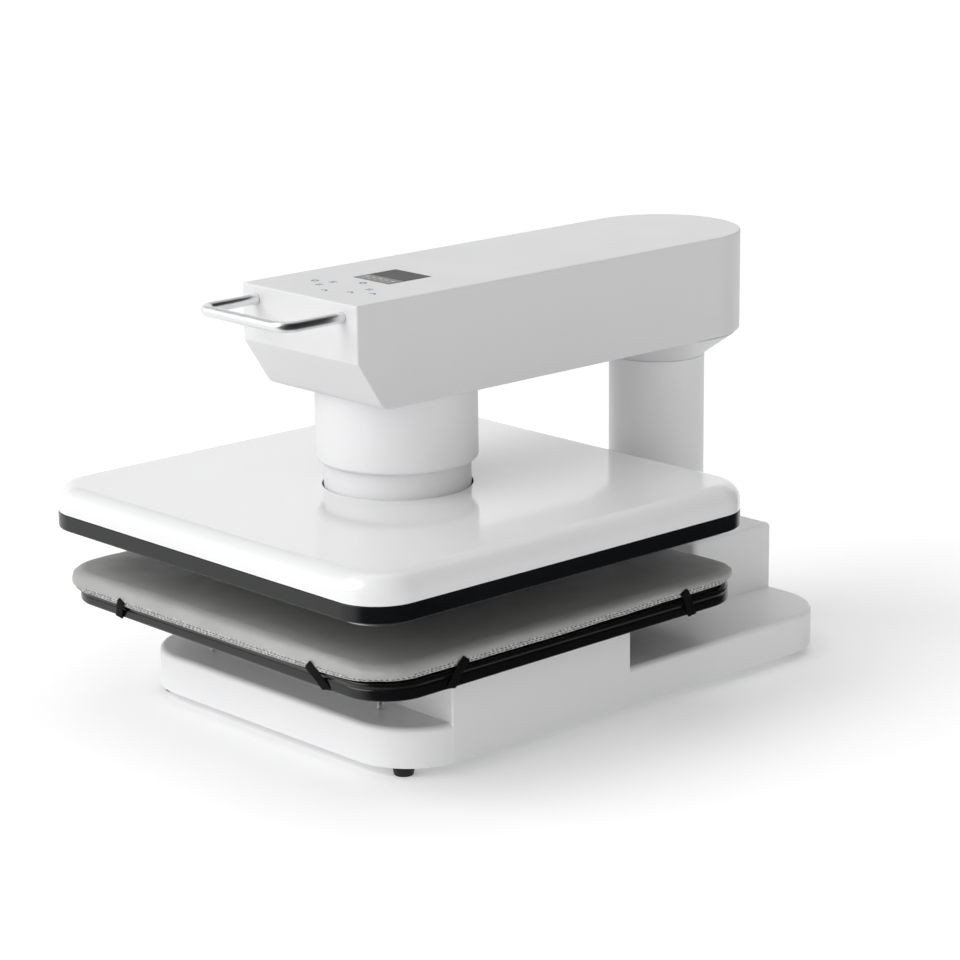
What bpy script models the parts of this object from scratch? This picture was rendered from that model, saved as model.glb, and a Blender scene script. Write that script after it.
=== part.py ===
"""Swing-away heat press: a motor lowers a square heated platen onto a padded table; the arm swings clear of it.

Units are metres, +Z is up and -Y is the operator's side. The origin is on the floor, in the middle of the
object's outline. Every part hangs from the empty of the rigid body that it moves with.
"""

from math import asin, cos, hypot, pi, radians, sin

import bmesh
import bpy
from mathutils import Matrix, Vector

MM = 0.001

# Clearances
GAP = 0.3 * MM  # between pieces that touch
SEAM = 0.8 * MM  # visible seam of the swing joint
SLIDE = 1.3 * MM  # round the moving ram

# Platen (the heated head)
PLATEN = 400 * MM
PLATEN_CORNER = 37 * MM
PLATEN_TOP = 176.6 * MM
COVER_HEIGHT = 21.4 * MM
COVER_FILLET = 15 * MM
COVER_WALL = 2.6 * MM
RIM_HEIGHT = 12.8 * MM
RIM_WALL = 3.0 * MM
RIM_LIP = 9.0 * MM
PLATE_DROP = 4.2 * MM  # heating plate below the rim
PLATE_THICKNESS = 12.0 * MM
BOARD_THICKNESS = 4.0 * MM
BACKING_THICKNESS = 2.5 * MM

# Table
TRAY_X = 386 * MM
TRAY_Y = 384 * MM
TRAY_OFFSET = 4 * MM  # towards the column
TRAY_CORNER = 39 * MM
TRAY_BOTTOM = 81.2 * MM
TRAY_HEIGHT = 12.6 * MM
TRAY_FLOOR = 2.5 * MM
TRAY_WALL = 4.0 * MM
PAD_TOP = 106.8 * MM
PAD_OVERHANG = 1.5 * MM
PAD_COVER_HEIGHT = 11.6 * MM
PAD_COVER_SKIN = 2.0 * MM
PAD_COVER_HEM = 6.0 * MM
PAD_CORNER = 36 * MM

STRAP_WIDTH = 8.5 * MM
STRAP_THICKNESS = 1.2 * MM
STRAP_REACH = 78 * MM  # from the tray's corner to each leg

# Base
BASE_X = 327 * MM
BASE_FRONT = 141.1 * MM  # press axis to the front edge
BASE_TAIL = 6.9 * MM  # behind the column's tube
BASE_BOTTOM = 7.6 * MM
SLAB_HEIGHT = 31.7 * MM
SLAB_CORNER = 53 * MM
SLAB_FILLET = 4.5 * MM
BASE_WALL = 3.5 * MM
BASE_PLATE = 2.0 * MM
BASE_JOIN = 12 * MM  # how deep the block and the pedestal reach into the slab
BLOCK_AHEAD = 15.3 * MM  # from the studs' axes to the block
BLOCK_CLEAR = 0.5 * MM  # below the tray
BLOCK_INSET = 0.2 * MM
PEDESTAL_X = 180 * MM
PEDESTAL_MARGIN = 7 * MM  # ahead of the column's tube
PEDESTAL_CLEAR = 1 * MM  # from the tray
PEDESTAL_TOP = 94.3 * MM
PEDESTAL_CORNER = 4.0 * MM
EDGE = 2.5 * MM
FOOT_INSET_X = 25.5 * MM
FOOT_INSET_FRONT = 21.1 * MM
FOOT_INSET_REAR = 34.6 * MM
FOOT_TOP_R = 8.75 * MM
FOOT_BOTTOM_R = 7.6 * MM
FOOT_RECESS_R = 4.6 * MM
FOOT_RECESS = 4 * MM
FOOT_BORE_R = 2.6 * MM
FOOT_SCREW_R = 2.2 * MM
FOOT_SCREW_HEAD_R = 4.2 * MM
STUD_INSET_X = 93 * MM  # from the tray's edge
STUD_INSET_Y = 83 * MM
STUD_R = 3.0 * MM

# Column and swing joint
COLUMN_BACK = 290.7 * MM  # press axis to the column's axis
COLUMN_R = 40 * MM
COLUMN_WALL = 4.0 * MM
COLUMN_CAP = 8.0 * MM
POST_R = 14 * MM
POST_FLANGE_R = 24 * MM
POST_FLANGE = 12 * MM
POST_COLLAR_R = 21 * MM
POST_COLLAR = 6.7 * MM
BUSH_WALL = 3.0 * MM
BUSH_LENGTH = 16 * MM
HUB_WALL = 6.0 * MM
HUB_HEIGHT = 44 * MM
HUB_FLANGE_R = 40 * MM
HUB_FLANGE = 6 * MM
COLLAR_HEIGHT = 21 * MM
COLLAR_EDGE = 1 * MM
COLLAR_STEP = 1.5 * MM  # wider than the tube at its foot
WASHER = 2.0 * MM
WASHER_STEP = 6 * MM  # narrower than the tube

# Arm
ARM_WIDTH = 134 * MM
ARM_FRONT = 96.3 * MM  # press axis to the front face
ARM_TAIL = 2.9 * MM  # how far the round end reaches past a half circle about the column
ARM_BOTTOM = 255.9 * MM
ARM_TOP = 339.2 * MM
ARM_WALL = 3.0 * MM
ARM_EDGE = 1.6 * MM
CHAMFER_RISE = 38.8 * MM
CHAMFER_RUN = 25.4 * MM
COVER_PLATE = 3.0 * MM
COVER_OPENING_R = 24 * MM
BEAM_MARGIN = 17 * MM  # from the arm's side
BEAM_GAUGE = 3.0 * MM
BEAM_HEIGHT = 21.5 * MM
BEAM_FRONT = 48 * MM
BEAM_REAR = 32 * MM  # behind the column's axis

# Press drive
CYLINDER_BOTTOM = 196.6 * MM
CYLINDER_WALL = 4.4 * MM
CYLINDER_CAP = 4.0 * MM
CYLINDER_FILLET = 3.5 * MM
RAM_R = 57.8 * MM
RAM_WALL = 3.0 * MM
RAM_TOP = 237.8 * MM
RAM_CAP = 6.0 * MM
RAM_FLANGE = 4.0 * MM
RAM_FLANGE_WIDTH = 12 * MM
SCREW_R = 8 * MM
SCREW_BOTTOM = 179.8 * MM
SCREW_ABOVE_PULLEY = 2 * MM
NUT_R = 16 * MM
NUT_HEIGHT = 16 * MM
NUT_COLLAR = 5 * MM
BEARING_R = 22 * MM
BEARING_HEIGHT = 5.0 * MM
SCREW_PULLEY_R = 20 * MM
MOTOR_PULLEY_R = 10 * MM
PULLEY_HEIGHT = 12 * MM
PULLEY_FLANGE = 1.5 * MM
BELT = 1.6 * MM
BELT_WIDTH = 8 * MM
MOTOR_BACK = 95 * MM  # press axis to the motor's axis
MOTOR_R = 24 * MM
MOTOR_HEIGHT = 44 * MM
MOTOR_EDGE = 3 * MM
MOTOR_BORE_DEPTH = 8 * MM
BRACKET_HALF = 28 * MM
BRACKET_BORE = 3 * MM  # round the shaft
SHAFT_R = 4 * MM
GUIDE_R = 4 * MM
GUIDE_X = 36 * MM
GUIDE_ABOVE_BEAM = 26 * MM

# Handle, display, electrics
HANDLE_INSET = 17 * MM  # from the arm's side
HANDLE_REACH = 54.7 * MM
HANDLE_BELOW_TOP = 10.9 * MM
HANDLE_R = 4.2 * MM
HANDLE_BEND = 12 * MM
HANDLE_TAIL = 12 * MM  # inside the front wall
HANDLE_NUT_R = 8 * MM
HANDLE_NUT = 5 * MM
DISPLAY_X = 42 * MM
DISPLAY_Y = 44 * MM
DISPLAY_SHIFT = -2 * MM  # from the press axis
DISPLAY_GLASS = 2.0 * MM
DISPLAY_CORNER = 1.2 * MM
BOARD_MARGIN = 15 * MM  # from the arm's side
BOARD_HALF_Y = 42 * MM
BOARD_SHIFT = -26 * MM
BOARD = 1.6 * MM
CHIP_HALF = 8 * MM
CHIP_SHIFT = -20 * MM
CHIP_DEPTH = 4 * MM
SUPPLY = (76 * MM, 72 * MM, 27.3 * MM)
SUPPLY_BEHIND = 17 * MM  # from the motor's bracket
SUPPLY_CLEAR = 2 * MM  # from the swing hub
INLET_X = -62 * MM
INLET_BODY = (27 * MM, 20 * MM, 21 * MM)  # width, height, depth behind the panel
INLET_BEZEL = (31 * MM, 24 * MM, 2 * MM)
INLET_SOCKET = (24.4 * MM, 17 * MM, 17 * MM)
INLET_BLADES = ((-7 * MM, -1.5 * MM), (7 * MM, -1.5 * MM), (0, 2.5 * MM))
INLET_BLADE = (2 * MM, 4 * MM)
INLET_BLADE_SHORT = 3 * MM  # behind the socket's mouth
SWITCH_X = 62 * MM
SWITCH_BODY = (13.4 * MM, 20.4 * MM, 14 * MM)
SWITCH_BEZEL = (15.6 * MM, 22.6 * MM, 1.6 * MM)
SWITCH_WELL = (10.8 * MM, 18.0 * MM, 11 * MM)
ROCKER = (9.6 * MM, 15.0 * MM, 7.0 * MM)
ROCKER_DIP = 1.0 * MM
ROCKER_OUT = 1.2 * MM
ROCKER_AXIS_DEPTH = 3.0 * MM  # behind the rear face
ROCKER_TILT = 8  # degrees either way
PANEL_Z = 67.8 * MM
THERMOSTAT_R = 8 * MM
THERMOSTAT_HEIGHT = 7.7 * MM
THERMOSTAT_PLACE = (90 * MM, 70 * MM)  # from the press axis
CUT = 5 * MM  # how far a cutter reaches past what it cuts
CORNERS = ("front_left", "front_right", "rear_left", "rear_right")

# Derived places. The outline runs from the platen's front edge to the arm's round end.
OUTLINE_REAR = COLUMN_BACK + ARM_WIDTH / 2 + ARM_TAIL
PRESS_Y = (PLATEN / 2 - OUTLINE_REAR) / 2
COLUMN_Y = PRESS_Y + COLUMN_BACK
COVER_BOTTOM = PLATEN_TOP - COVER_HEIGHT
RIM_TOP = COVER_BOTTOM - GAP
RIM_BOTTOM = RIM_TOP - RIM_HEIGHT
PLATE_BOTTOM = RIM_BOTTOM - PLATE_DROP
PLATE_TOP = PLATE_BOTTOM + PLATE_THICKNESS
BOARD_BOTTOM = PLATE_TOP + GAP
BACKING_BOTTOM = BOARD_BOTTOM + BOARD_THICKNESS + GAP
BACKING_TOP = BACKING_BOTTOM + BACKING_THICKNESS
RAM_BOTTOM = BACKING_TOP + GAP
TRAY_Y0 = PRESS_Y + TRAY_OFFSET
TRAY_TOP = TRAY_BOTTOM + TRAY_HEIGHT
SLAB_TOP = BASE_BOTTOM + SLAB_HEIGHT
BLOCK_TOP = TRAY_BOTTOM - BLOCK_CLEAR
STUD_X = TRAY_X / 2 - STUD_INSET_X
STUD_Y = TRAY_Y / 2 - STUD_INSET_Y
BLOCK_HALF = STUD_Y - BLOCK_AHEAD
BASE_REAR = COLUMN_BACK + COLUMN_R + BASE_TAIL  # press axis to the rear edge
PEDESTAL_FRONT = min(COLUMN_R + PEDESTAL_MARGIN, COLUMN_BACK - TRAY_OFFSET - TRAY_Y / 2 - PEDESTAL_CLEAR)
FOOT_X = BASE_X / 2 - FOOT_INSET_X
FOOT_FRONT = BASE_FRONT - FOOT_INSET_FRONT
FOOT_REAR = BASE_REAR - FOOT_INSET_REAR
BASE_Y = (BASE_REAR - BASE_FRONT) / 2 + PRESS_Y
BASE_LENGTH = BASE_REAR + BASE_FRONT
REAR_FACE = PRESS_Y + BASE_REAR - BLOCK_INSET
PLATE_Z = BASE_BOTTOM + BASE_PLATE
COLLAR_TOP = ARM_BOTTOM - GAP
COLLAR_BOTTOM = COLLAR_TOP - COLLAR_HEIGHT
COLLAR_R = ARM_WIDTH / 2 - COLLAR_EDGE
COLLAR_FOOT_R = COLUMN_R + COLLAR_STEP
WASHER_R = COLUMN_R - WASHER_STEP
CYLINDER_R = RAM_R + SLIDE + CYLINDER_WALL
BEAM_WIDTH = ARM_WIDTH - 2 * BEAM_MARGIN
HANDLE_X = ARM_WIDTH / 2 - HANDLE_INSET
COLUMN_TOP = COLLAR_BOTTOM - SEAM
WASHER_BOTTOM = COLUMN_TOP + GAP
COVER_PLATE_TOP = ARM_BOTTOM + COVER_PLATE
BEAM_BOTTOM = COVER_PLATE_TOP + GAP
BEAM_FLOOR = BEAM_BOTTOM + BEAM_GAUGE
BEAM_TOP = BEAM_BOTTOM + BEAM_HEIGHT
BEARING_BOTTOM = BEAM_FLOOR + GAP
PULLEY_BOTTOM = BEARING_BOTTOM + BEARING_HEIGHT + GAP
PULLEY_TOP = PULLEY_BOTTOM + PULLEY_HEIGHT
BRACKET_BOTTOM = BEAM_TOP + GAP
BRACKET_TOP = BRACKET_BOTTOM + BEAM_GAUGE
MOTOR_BOTTOM = BRACKET_TOP + GAP
MOTOR_Y = PRESS_Y + MOTOR_BACK
BUSH_R = POST_R + GAP + BUSH_WALL
HUB_BORE = BUSH_R + GAP
HUB_R = HUB_BORE + HUB_WALL
HUB_BOTTOM = BEAM_FLOOR + GAP
HUB_TOP = HUB_BOTTOM + HUB_HEIGHT
POST_TOP = HUB_TOP + 10 * MM

# Materials: colour, roughness, metallic
FINISHES = {
    "white_paint": ((0.86, 0.86, 0.87), 0.42, 0.0),
    "white_gloss": ((0.88, 0.88, 0.89), 0.12, 0.0),
    "black_satin": ((0.018, 0.019, 0.021), 0.35, 0.0),
    "black_steel": ((0.022, 0.022, 0.024), 0.40, 0.0),
    "grey_fabric": ((0.42, 0.42, 0.42), 0.80, 0.0),
    "foam": ((0.55, 0.42, 0.30), 0.90, 0.0),
    "black_elastic": ((0.02, 0.02, 0.02), 0.85, 0.0),
    "rubber": ((0.02, 0.02, 0.02), 0.70, 0.0),
    "aluminium": ((0.80, 0.81, 0.82), 0.28, 1.0),
    "steel": ((0.56, 0.57, 0.58), 0.35, 1.0),
    "bronze": ((0.62, 0.45, 0.22), 0.40, 1.0),
    "insulation": ((0.72, 0.70, 0.64), 0.95, 0.0),
    "black_glass": ((0.02, 0.02, 0.025), 0.08, 0.0),
    "board_green": ((0.03, 0.20, 0.09), 0.50, 0.0),
    "black_plastic": ((0.03, 0.03, 0.03), 0.50, 0.0),
}


def clear_scene():
    for item in list(bpy.data.objects):
        bpy.data.objects.remove(item, do_unlink=True)


def make_collection(name):
    collection = bpy.data.collections.new(name)
    bpy.context.scene.collection.children.link(collection)
    return collection


def make_material(name):
    colour, roughness, metallic = FINISHES[name]
    material = bpy.data.materials.new(name)
    material.use_nodes = True
    shader = material.node_tree.nodes["Principled BSDF"]
    shader.inputs["Base Color"].default_value = (*colour, 1.0)
    shader.inputs["Roughness"].default_value = roughness
    shader.inputs["Metallic"].default_value = metallic
    return material


clear_scene()
PARTS = make_collection("heat_press")
CUTTERS = make_collection("heat_press_cutters")
MATERIALS = {name: make_material(name) for name in FINISHES}


def body_empty(name, x, y, z):
    """The empty of one rigid body, on its joint's axis."""
    empty = bpy.data.objects.new(name, None)
    empty.location = (x, y, z)
    empty.empty_display_size = 0.03
    PARTS.objects.link(empty)
    return empty


BASE = body_empty("base_body", 0, PRESS_Y, 0)
ARM = body_empty("arm_body", 0, COLUMN_Y, COLUMN_TOP)
HEAD = body_empty("head_body", 0, PRESS_Y, PLATEN_TOP)
SCREW = body_empty("lead_screw_body", 0, PRESS_Y, PULLEY_BOTTOM)
MOTOR_SHAFT = body_empty("motor_shaft_body", 0, MOTOR_Y, PULLEY_BOTTOM)
ROCKER_BODY = body_empty("rocker_body", SWITCH_X, REAR_FACE - ROCKER_AXIS_DEPTH, PANEL_Z)


def add_object(name, mesh, centre, body, finish):
    """A part when it has a finish, otherwise a cutter that renders as nothing."""
    item = bpy.data.objects.new(name, mesh)
    (PARTS if finish else CUTTERS).objects.link(item)
    item.parent = body
    item.location = Vector(centre) - body.location
    if finish:
        mesh.materials.append(MATERIALS[finish])
    else:
        item.hide_render = True
        item.display_type = "WIRE"
    return item


def boolean(item, other, operation="DIFFERENCE"):
    modifier = item.modifiers.new(operation.lower(), "BOOLEAN")
    modifier.operation = operation
    modifier.solver = "EXACT"
    modifier.object = other
    return item


def mesh_from(bm, name, smooth_angle=35):
    bmesh.ops.recalc_face_normals(bm, faces=bm.faces)
    mesh = bpy.data.meshes.new(name)
    bm.to_mesh(mesh)
    bm.free()
    mesh.shade_smooth()
    mesh.set_sharp_from_angle(angle=radians(smooth_angle))
    return mesh


def block(size):
    bm = bmesh.new()
    bmesh.ops.create_cube(bm, size=1.0)
    bmesh.ops.scale(bm, vec=size, verts=bm.verts)
    return bm


def bevel(bm, edges, width, segments):
    bmesh.ops.bevel(
        bm, geom=edges, offset=width, offset_type="OFFSET", segments=segments,
        profile=0.5, affect="EDGES", clamp_overlap=True,
    )


def upright_edges(bm, rear_only=False, front_only=False):
    found = []
    for edge in bm.edges:
        a, b = (v.co for v in edge.verts)
        if abs(a.x - b.x) + abs(a.y - b.y) > 1e-6 or abs(a.z - b.z) < 1e-6:
            continue
        if (rear_only and a.y < 0) or (front_only and a.y > 0):
            continue
        found.append(edge)
    return found


def level_edges(bm, z):
    """The outline edges that lie at one height."""
    return [e for e in bm.edges if all(abs(v.co.z - z) < 1e-6 for v in e.verts) and not e.is_wire]


def rounded_box(
    name, low, high, body, finish,
    corner=0.0, top_round=0.0, bottom_round=0.0, corner_steps=7, edge_steps=3,
):
    """A box with rounded upright corners, and with fillets on its top and bottom outlines."""
    low, high = Vector(low), Vector(high)
    size = high - low
    bm = block(size)
    if corner:
        bevel(bm, upright_edges(bm), corner, corner_steps)
    if top_round:
        bevel(bm, level_edges(bm, size.z / 2), top_round, edge_steps)
    if bottom_round:
        bevel(bm, level_edges(bm, -size.z / 2), bottom_round, edge_steps)
    return add_object(name, mesh_from(bm, name), (low + high) / 2, body, finish)


def slab_box(name, half_x, half_y, y, bottom, top, body, finish, **options):
    """A rounded box centred on the object's middle plane."""
    return rounded_box(
        name, (-half_x, y - half_y, bottom), (half_x, y + half_y, top), body, finish, **options
    )


def turned(name, profile, x, y, body, finish, steps=32):
    """A ring turned about a vertical axis. Its profile, as (radius, z), runs down outside and up the bore."""
    base_z = profile[0][1]
    bm = bmesh.new()
    verts = [bm.verts.new((r, 0, z - base_z)) for r, z in profile]
    for a, b in zip(verts, verts[1:]):
        bm.edges.new((a, b))
    if profile[0][0] > 0 and profile[-1][0] > 0:
        bm.edges.new((verts[-1], verts[0]))
    mesh = bpy.data.meshes.new(name)
    bm.to_mesh(mesh)
    bm.free()
    item = add_object(name, mesh, (x, y, base_z), body, finish)
    screw = item.modifiers.new("turn", "SCREW")
    screw.axis = "Z"
    screw.steps = steps
    screw.render_steps = steps
    screw.use_merge_vertices = True
    screw.merge_threshold = 0.00001
    screw.use_smooth_shade = True
    return item


def cylinder(name, radius, bottom, top, x, y, body, finish, steps=24):
    return turned(name, [(0, top), (radius, top), (radius, bottom), (0, bottom)], x, y, body, finish, steps)


def ring(name, outer, inner, bottom, top, x, y, body, finish, steps=20):
    profile = [(outer, top), (outer, bottom), (inner, bottom), (inner, top)]
    return turned(name, profile, x, y, body, finish, steps)


def drill(item, name, radius, bottom, top, x, y, body, steps=24):
    return boolean(item, cylinder(name, radius, bottom, top, x, y, body, None, steps))


# ---------------------------------------------------------------- base

def make_base_shell():
    """One moulding: a low slab, a block under the table and a pedestal round the column, open underneath."""
    half_y = BASE_LENGTH / 2
    shell = slab_box(
        "base_shell", BASE_X / 2, half_y, BASE_Y, BASE_BOTTOM, SLAB_TOP, BASE, "white_paint",
        corner=SLAB_CORNER, top_round=SLAB_FILLET, corner_steps=8,
    )
    middle = slab_box(
        "block_shape", BASE_X / 2 - BLOCK_INSET, BLOCK_HALF, PRESS_Y, SLAB_TOP - BASE_JOIN, BLOCK_TOP,
        BASE, None, corner=EDGE, corner_steps=3,
    )
    pedestal_front = COLUMN_Y - PEDESTAL_FRONT
    pedestal = rounded_box(
        "pedestal_shape", (-PEDESTAL_X / 2, pedestal_front, SLAB_TOP - BASE_JOIN),
        (PEDESTAL_X / 2, REAR_FACE, PEDESTAL_TOP), BASE, None,
        corner=PEDESTAL_CORNER, top_round=EDGE, corner_steps=3,
    )
    boolean(shell, middle, "UNION")
    boolean(shell, pedestal, "UNION")
    wall = BASE_WALL
    drill(shell, "column_hole", COLUMN_R + GAP, PEDESTAL_TOP - wall - CUT, PEDESTAL_TOP + CUT,
          0, COLUMN_Y, BASE, 48)
    below, above = BASE_BOTTOM - CUT, BASE_BOTTOM + CUT
    hollow = slab_box(
        "slab_hollow", BASE_X / 2 - wall, half_y - wall, BASE_Y, below, SLAB_TOP - wall, BASE, None,
        corner=SLAB_CORNER - wall,
    )
    block_hollow = slab_box(
        "block_hollow", BASE_X / 2 - 2 * BLOCK_INSET - wall - GAP, BLOCK_HALF - wall, PRESS_Y,
        above, BLOCK_TOP - wall, BASE, None,
    )
    pedestal_hollow = rounded_box(
        "pedestal_hollow", (-PEDESTAL_X / 2 + wall, pedestal_front + wall, above),
        (PEDESTAL_X / 2 - wall, REAR_FACE - wall, PEDESTAL_TOP - wall), BASE, None,
    )
    for cutter in (hollow, block_hollow, pedestal_hollow):
        boolean(shell, cutter)
    for name, x, size in (("inlet_hole", INLET_X, INLET_BODY), ("switch_hole", SWITCH_X, SWITCH_BODY)):
        half_x, half_z = size[0] / 2 + GAP, size[1] / 2 + GAP
        boolean(shell, rounded_box(
            name, (x - half_x, REAR_FACE - wall - CUT, PANEL_Z - half_z),
            (x + half_x, REAR_FACE + CUT, PANEL_Z + half_z), BASE, None,
        ))
    return shell


def make_base_plate():
    inset = BASE_WALL + GAP
    plate = slab_box(
        "base_plate", BASE_X / 2 - inset, BASE_LENGTH / 2 - inset, BASE_Y, BASE_BOTTOM, PLATE_Z,
        BASE, "steel", corner=SLAB_CORNER - inset,
    )
    for index, (x, y) in enumerate(foot_places()):
        drill(plate, f"foot_bore_{index}", FOOT_SCREW_R + 2 * GAP, BASE_BOTTOM - CUT, PLATE_Z + CUT, x, y,
              BASE, 16)
    return plate


def foot_places():
    front, rear = PRESS_Y - FOOT_FRONT, PRESS_Y + FOOT_REAR
    return [(-FOOT_X, front), (FOOT_X, front), (-FOOT_X, rear), (FOOT_X, rear)]


def make_feet():
    top = BASE_BOTTOM - GAP
    edge = 1.0 * MM
    head_top = FOOT_RECESS - GAP
    head_rim, head_bottom = head_top - 1.6 * MM, head_top - 2.2 * MM
    tip = PLATE_Z + 3 * MM
    for corner, (x, y) in zip(CORNERS, foot_places()):
        turned(
            f"{corner}_foot",
            [
                (FOOT_TOP_R, top), (FOOT_BOTTOM_R, edge), (FOOT_BOTTOM_R - edge, 0), (FOOT_RECESS_R, 0),
                (FOOT_RECESS_R, FOOT_RECESS), (FOOT_BORE_R, FOOT_RECESS), (FOOT_BORE_R, top),
            ],
            x, y, BASE, "rubber", 16,
        )
        turned(
            f"{corner}_foot_screw",
            [
                (0, tip), (FOOT_SCREW_R, tip), (FOOT_SCREW_R, head_top), (FOOT_SCREW_HEAD_R, head_top),
                (FOOT_SCREW_HEAD_R, head_rim), (FOOT_SCREW_HEAD_R - edge, head_bottom), (0, head_bottom),
            ],
            x, y, BASE, "steel", 10,
        )


def make_column():
    """A tube with a thick cap that carries the swing joint. Its foot stands on the base plate."""
    foot = PLATE_Z + GAP
    inner = COLUMN_R - COLUMN_WALL
    turned(
        "column",
        [
            (COLUMN_R, COLUMN_TOP), (COLUMN_R, foot), (inner, foot), (inner, COLUMN_TOP - COLUMN_CAP),
            (POST_R + GAP, COLUMN_TOP - COLUMN_CAP), (POST_R + GAP, COLUMN_TOP),
        ],
        0, COLUMN_Y, BASE, "white_paint", 48,
    )
    turned(
        "king_post",
        [
            (0, POST_TOP), (POST_R - 1 * MM, POST_TOP), (POST_R, POST_TOP - 1 * MM),
            (POST_R, foot + POST_FLANGE), (POST_FLANGE_R, foot + POST_FLANGE), (POST_FLANGE_R, foot), (0, foot),
        ],
        0, COLUMN_Y, BASE, "steel", 24,
    )
    ring("thrust_washer", WASHER_R, POST_R + GAP, WASHER_BOTTOM, WASHER_BOTTOM + WASHER, 0, COLUMN_Y,
         BASE, "bronze")
    collar_bottom = HUB_TOP + GAP
    ring("post_collar", POST_COLLAR_R, POST_R + GAP, collar_bottom, collar_bottom + POST_COLLAR, 0, COLUMN_Y,
         BASE, "steel")


def make_tray():
    """A shallow pressed tray whose rolled rim carries the pad."""
    half_x, half_y = TRAY_X / 2, TRAY_Y / 2
    tray = slab_box(
        "tray", half_x, half_y, TRAY_Y0, TRAY_BOTTOM, TRAY_TOP, BASE, "black_steel",
        corner=TRAY_CORNER, top_round=1.6 * MM, bottom_round=2.4 * MM, edge_steps=2,
    )
    well = slab_box(
        "tray_well", half_x - TRAY_WALL, half_y - TRAY_WALL, TRAY_Y0, TRAY_BOTTOM + TRAY_FLOOR,
        TRAY_TOP + CUT, BASE, None, corner=TRAY_CORNER - TRAY_WALL,
    )
    return boolean(tray, well)


def make_pad():
    foam_bottom = TRAY_BOTTOM + TRAY_FLOOR + GAP
    cover_bottom = PAD_TOP - PAD_COVER_HEIGHT
    half_x, half_y = TRAY_X / 2 + PAD_OVERHANG, TRAY_Y / 2 + PAD_OVERHANG
    inner_x, inner_y = half_x - PAD_COVER_HEM, half_y - PAD_COVER_HEM
    inner_corner = PAD_CORNER - PAD_COVER_HEM
    foam_x, foam_y = inner_x - GAP, inner_y - GAP
    foam_top = PAD_TOP - PAD_COVER_SKIN - GAP
    slab_box("foam_pad", foam_x, foam_y, TRAY_Y0, foam_bottom, foam_top, BASE, "foam",
             corner=max(inner_corner, TRAY_CORNER - TRAY_WALL))
    cover = slab_box(
        "pad_cover", half_x, half_y, TRAY_Y0, cover_bottom, PAD_TOP, BASE, "grey_fabric",
        corner=PAD_CORNER, top_round=6 * MM, edge_steps=3,
    )
    hollow = slab_box(
        "pad_hollow", inner_x, inner_y, TRAY_Y0, cover_bottom - CUT, foam_top + GAP, BASE, None,
        corner=inner_corner,
    )
    return boolean(cover, hollow)


def make_straps():
    """An elastic band across each corner: down from the pad cover, under the tray, and up the next side."""
    half_x, half_y = TRAY_X / 2, TRAY_Y / 2
    leg_top = PAD_TOP - PAD_COVER_HEIGHT - GAP
    run_top = TRAY_BOTTOM - GAP
    run_bottom = run_top - STRAP_THICKNESS
    width, thick = STRAP_WIDTH, STRAP_THICKNESS
    for corner in CORNERS:
        side_x = -1 if corner.endswith("left") else 1
        side_y = -1 if corner.startswith("front") else 1
        face_x = side_x * (half_x + GAP + thick / 2)
        face_y = TRAY_Y0 + side_y * (half_y + GAP + thick / 2)
        leg_x = side_x * (half_x - STRAP_REACH)
        leg_y = TRAY_Y0 + side_y * (half_y - STRAP_REACH)
        strap = rounded_box(
            f"{corner}_strap", (leg_x - width / 2, face_y - thick / 2, run_bottom),
            (leg_x + width / 2, face_y + thick / 2, leg_top), BASE, "black_elastic",
        )
        other_leg = rounded_box(
            f"{corner}_strap_leg", (face_x - thick / 2, leg_y - width / 2, run_bottom),
            (face_x + thick / 2, leg_y + width / 2, leg_top), BASE, None,
        )
        start, end = Vector((leg_x, face_y, 0)), Vector((face_x, leg_y, 0))
        along = end - start
        bm = block((along.length, width, thick))
        run = add_object(
            f"{corner}_strap_run", mesh_from(bm, f"{corner}_strap_run"),
            (start + end) / 2 + Vector((0, 0, run_top - thick / 2)), BASE, None,
        )
        run.rotation_euler.z = along.to_track_quat("X", "Z").to_euler().z
        boolean(strap, other_leg, "UNION")
        boolean(strap, run, "UNION")


def make_studs():
    for corner in CORNERS:
        x = STUD_X * (-1 if corner.endswith("left") else 1)
        y = PRESS_Y + STUD_Y * (-1 if corner.startswith("front") else 1)
        cylinder(f"{corner}_stud", STUD_R, SLAB_TOP + GAP, TRAY_BOTTOM - GAP, x, y, BASE, "steel", 12)


def panel_part(name, x, body_size, bezel_size, finish):
    """A snap-in panel part: a bezel outside the rear face and a body through its hole."""
    width, height, depth = bezel_size
    bezel = rounded_box(
        name, (x - width / 2, REAR_FACE + GAP, PANEL_Z - height / 2),
        (x + width / 2, REAR_FACE + GAP + depth, PANEL_Z + height / 2), BASE, finish,
    )
    width, height, depth = body_size
    body = rounded_box(
        f"{name}_body", (x - width / 2, REAR_FACE - depth, PANEL_Z - height / 2),
        (x + width / 2, REAR_FACE + GAP + bezel_size[2] / 2, PANEL_Z + height / 2), BASE, None,
    )
    return boolean(bezel, body, "UNION")


def panel_hollow(item, name, x, size, mouth):
    """A pocket in a panel part, open at its mouth."""
    width, height, depth = size
    return boolean(item, rounded_box(
        name, (x - width / 2, mouth - depth, PANEL_Z - height / 2),
        (x + width / 2, mouth + CUT, PANEL_Z + height / 2), BASE, None,
    ))


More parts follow.
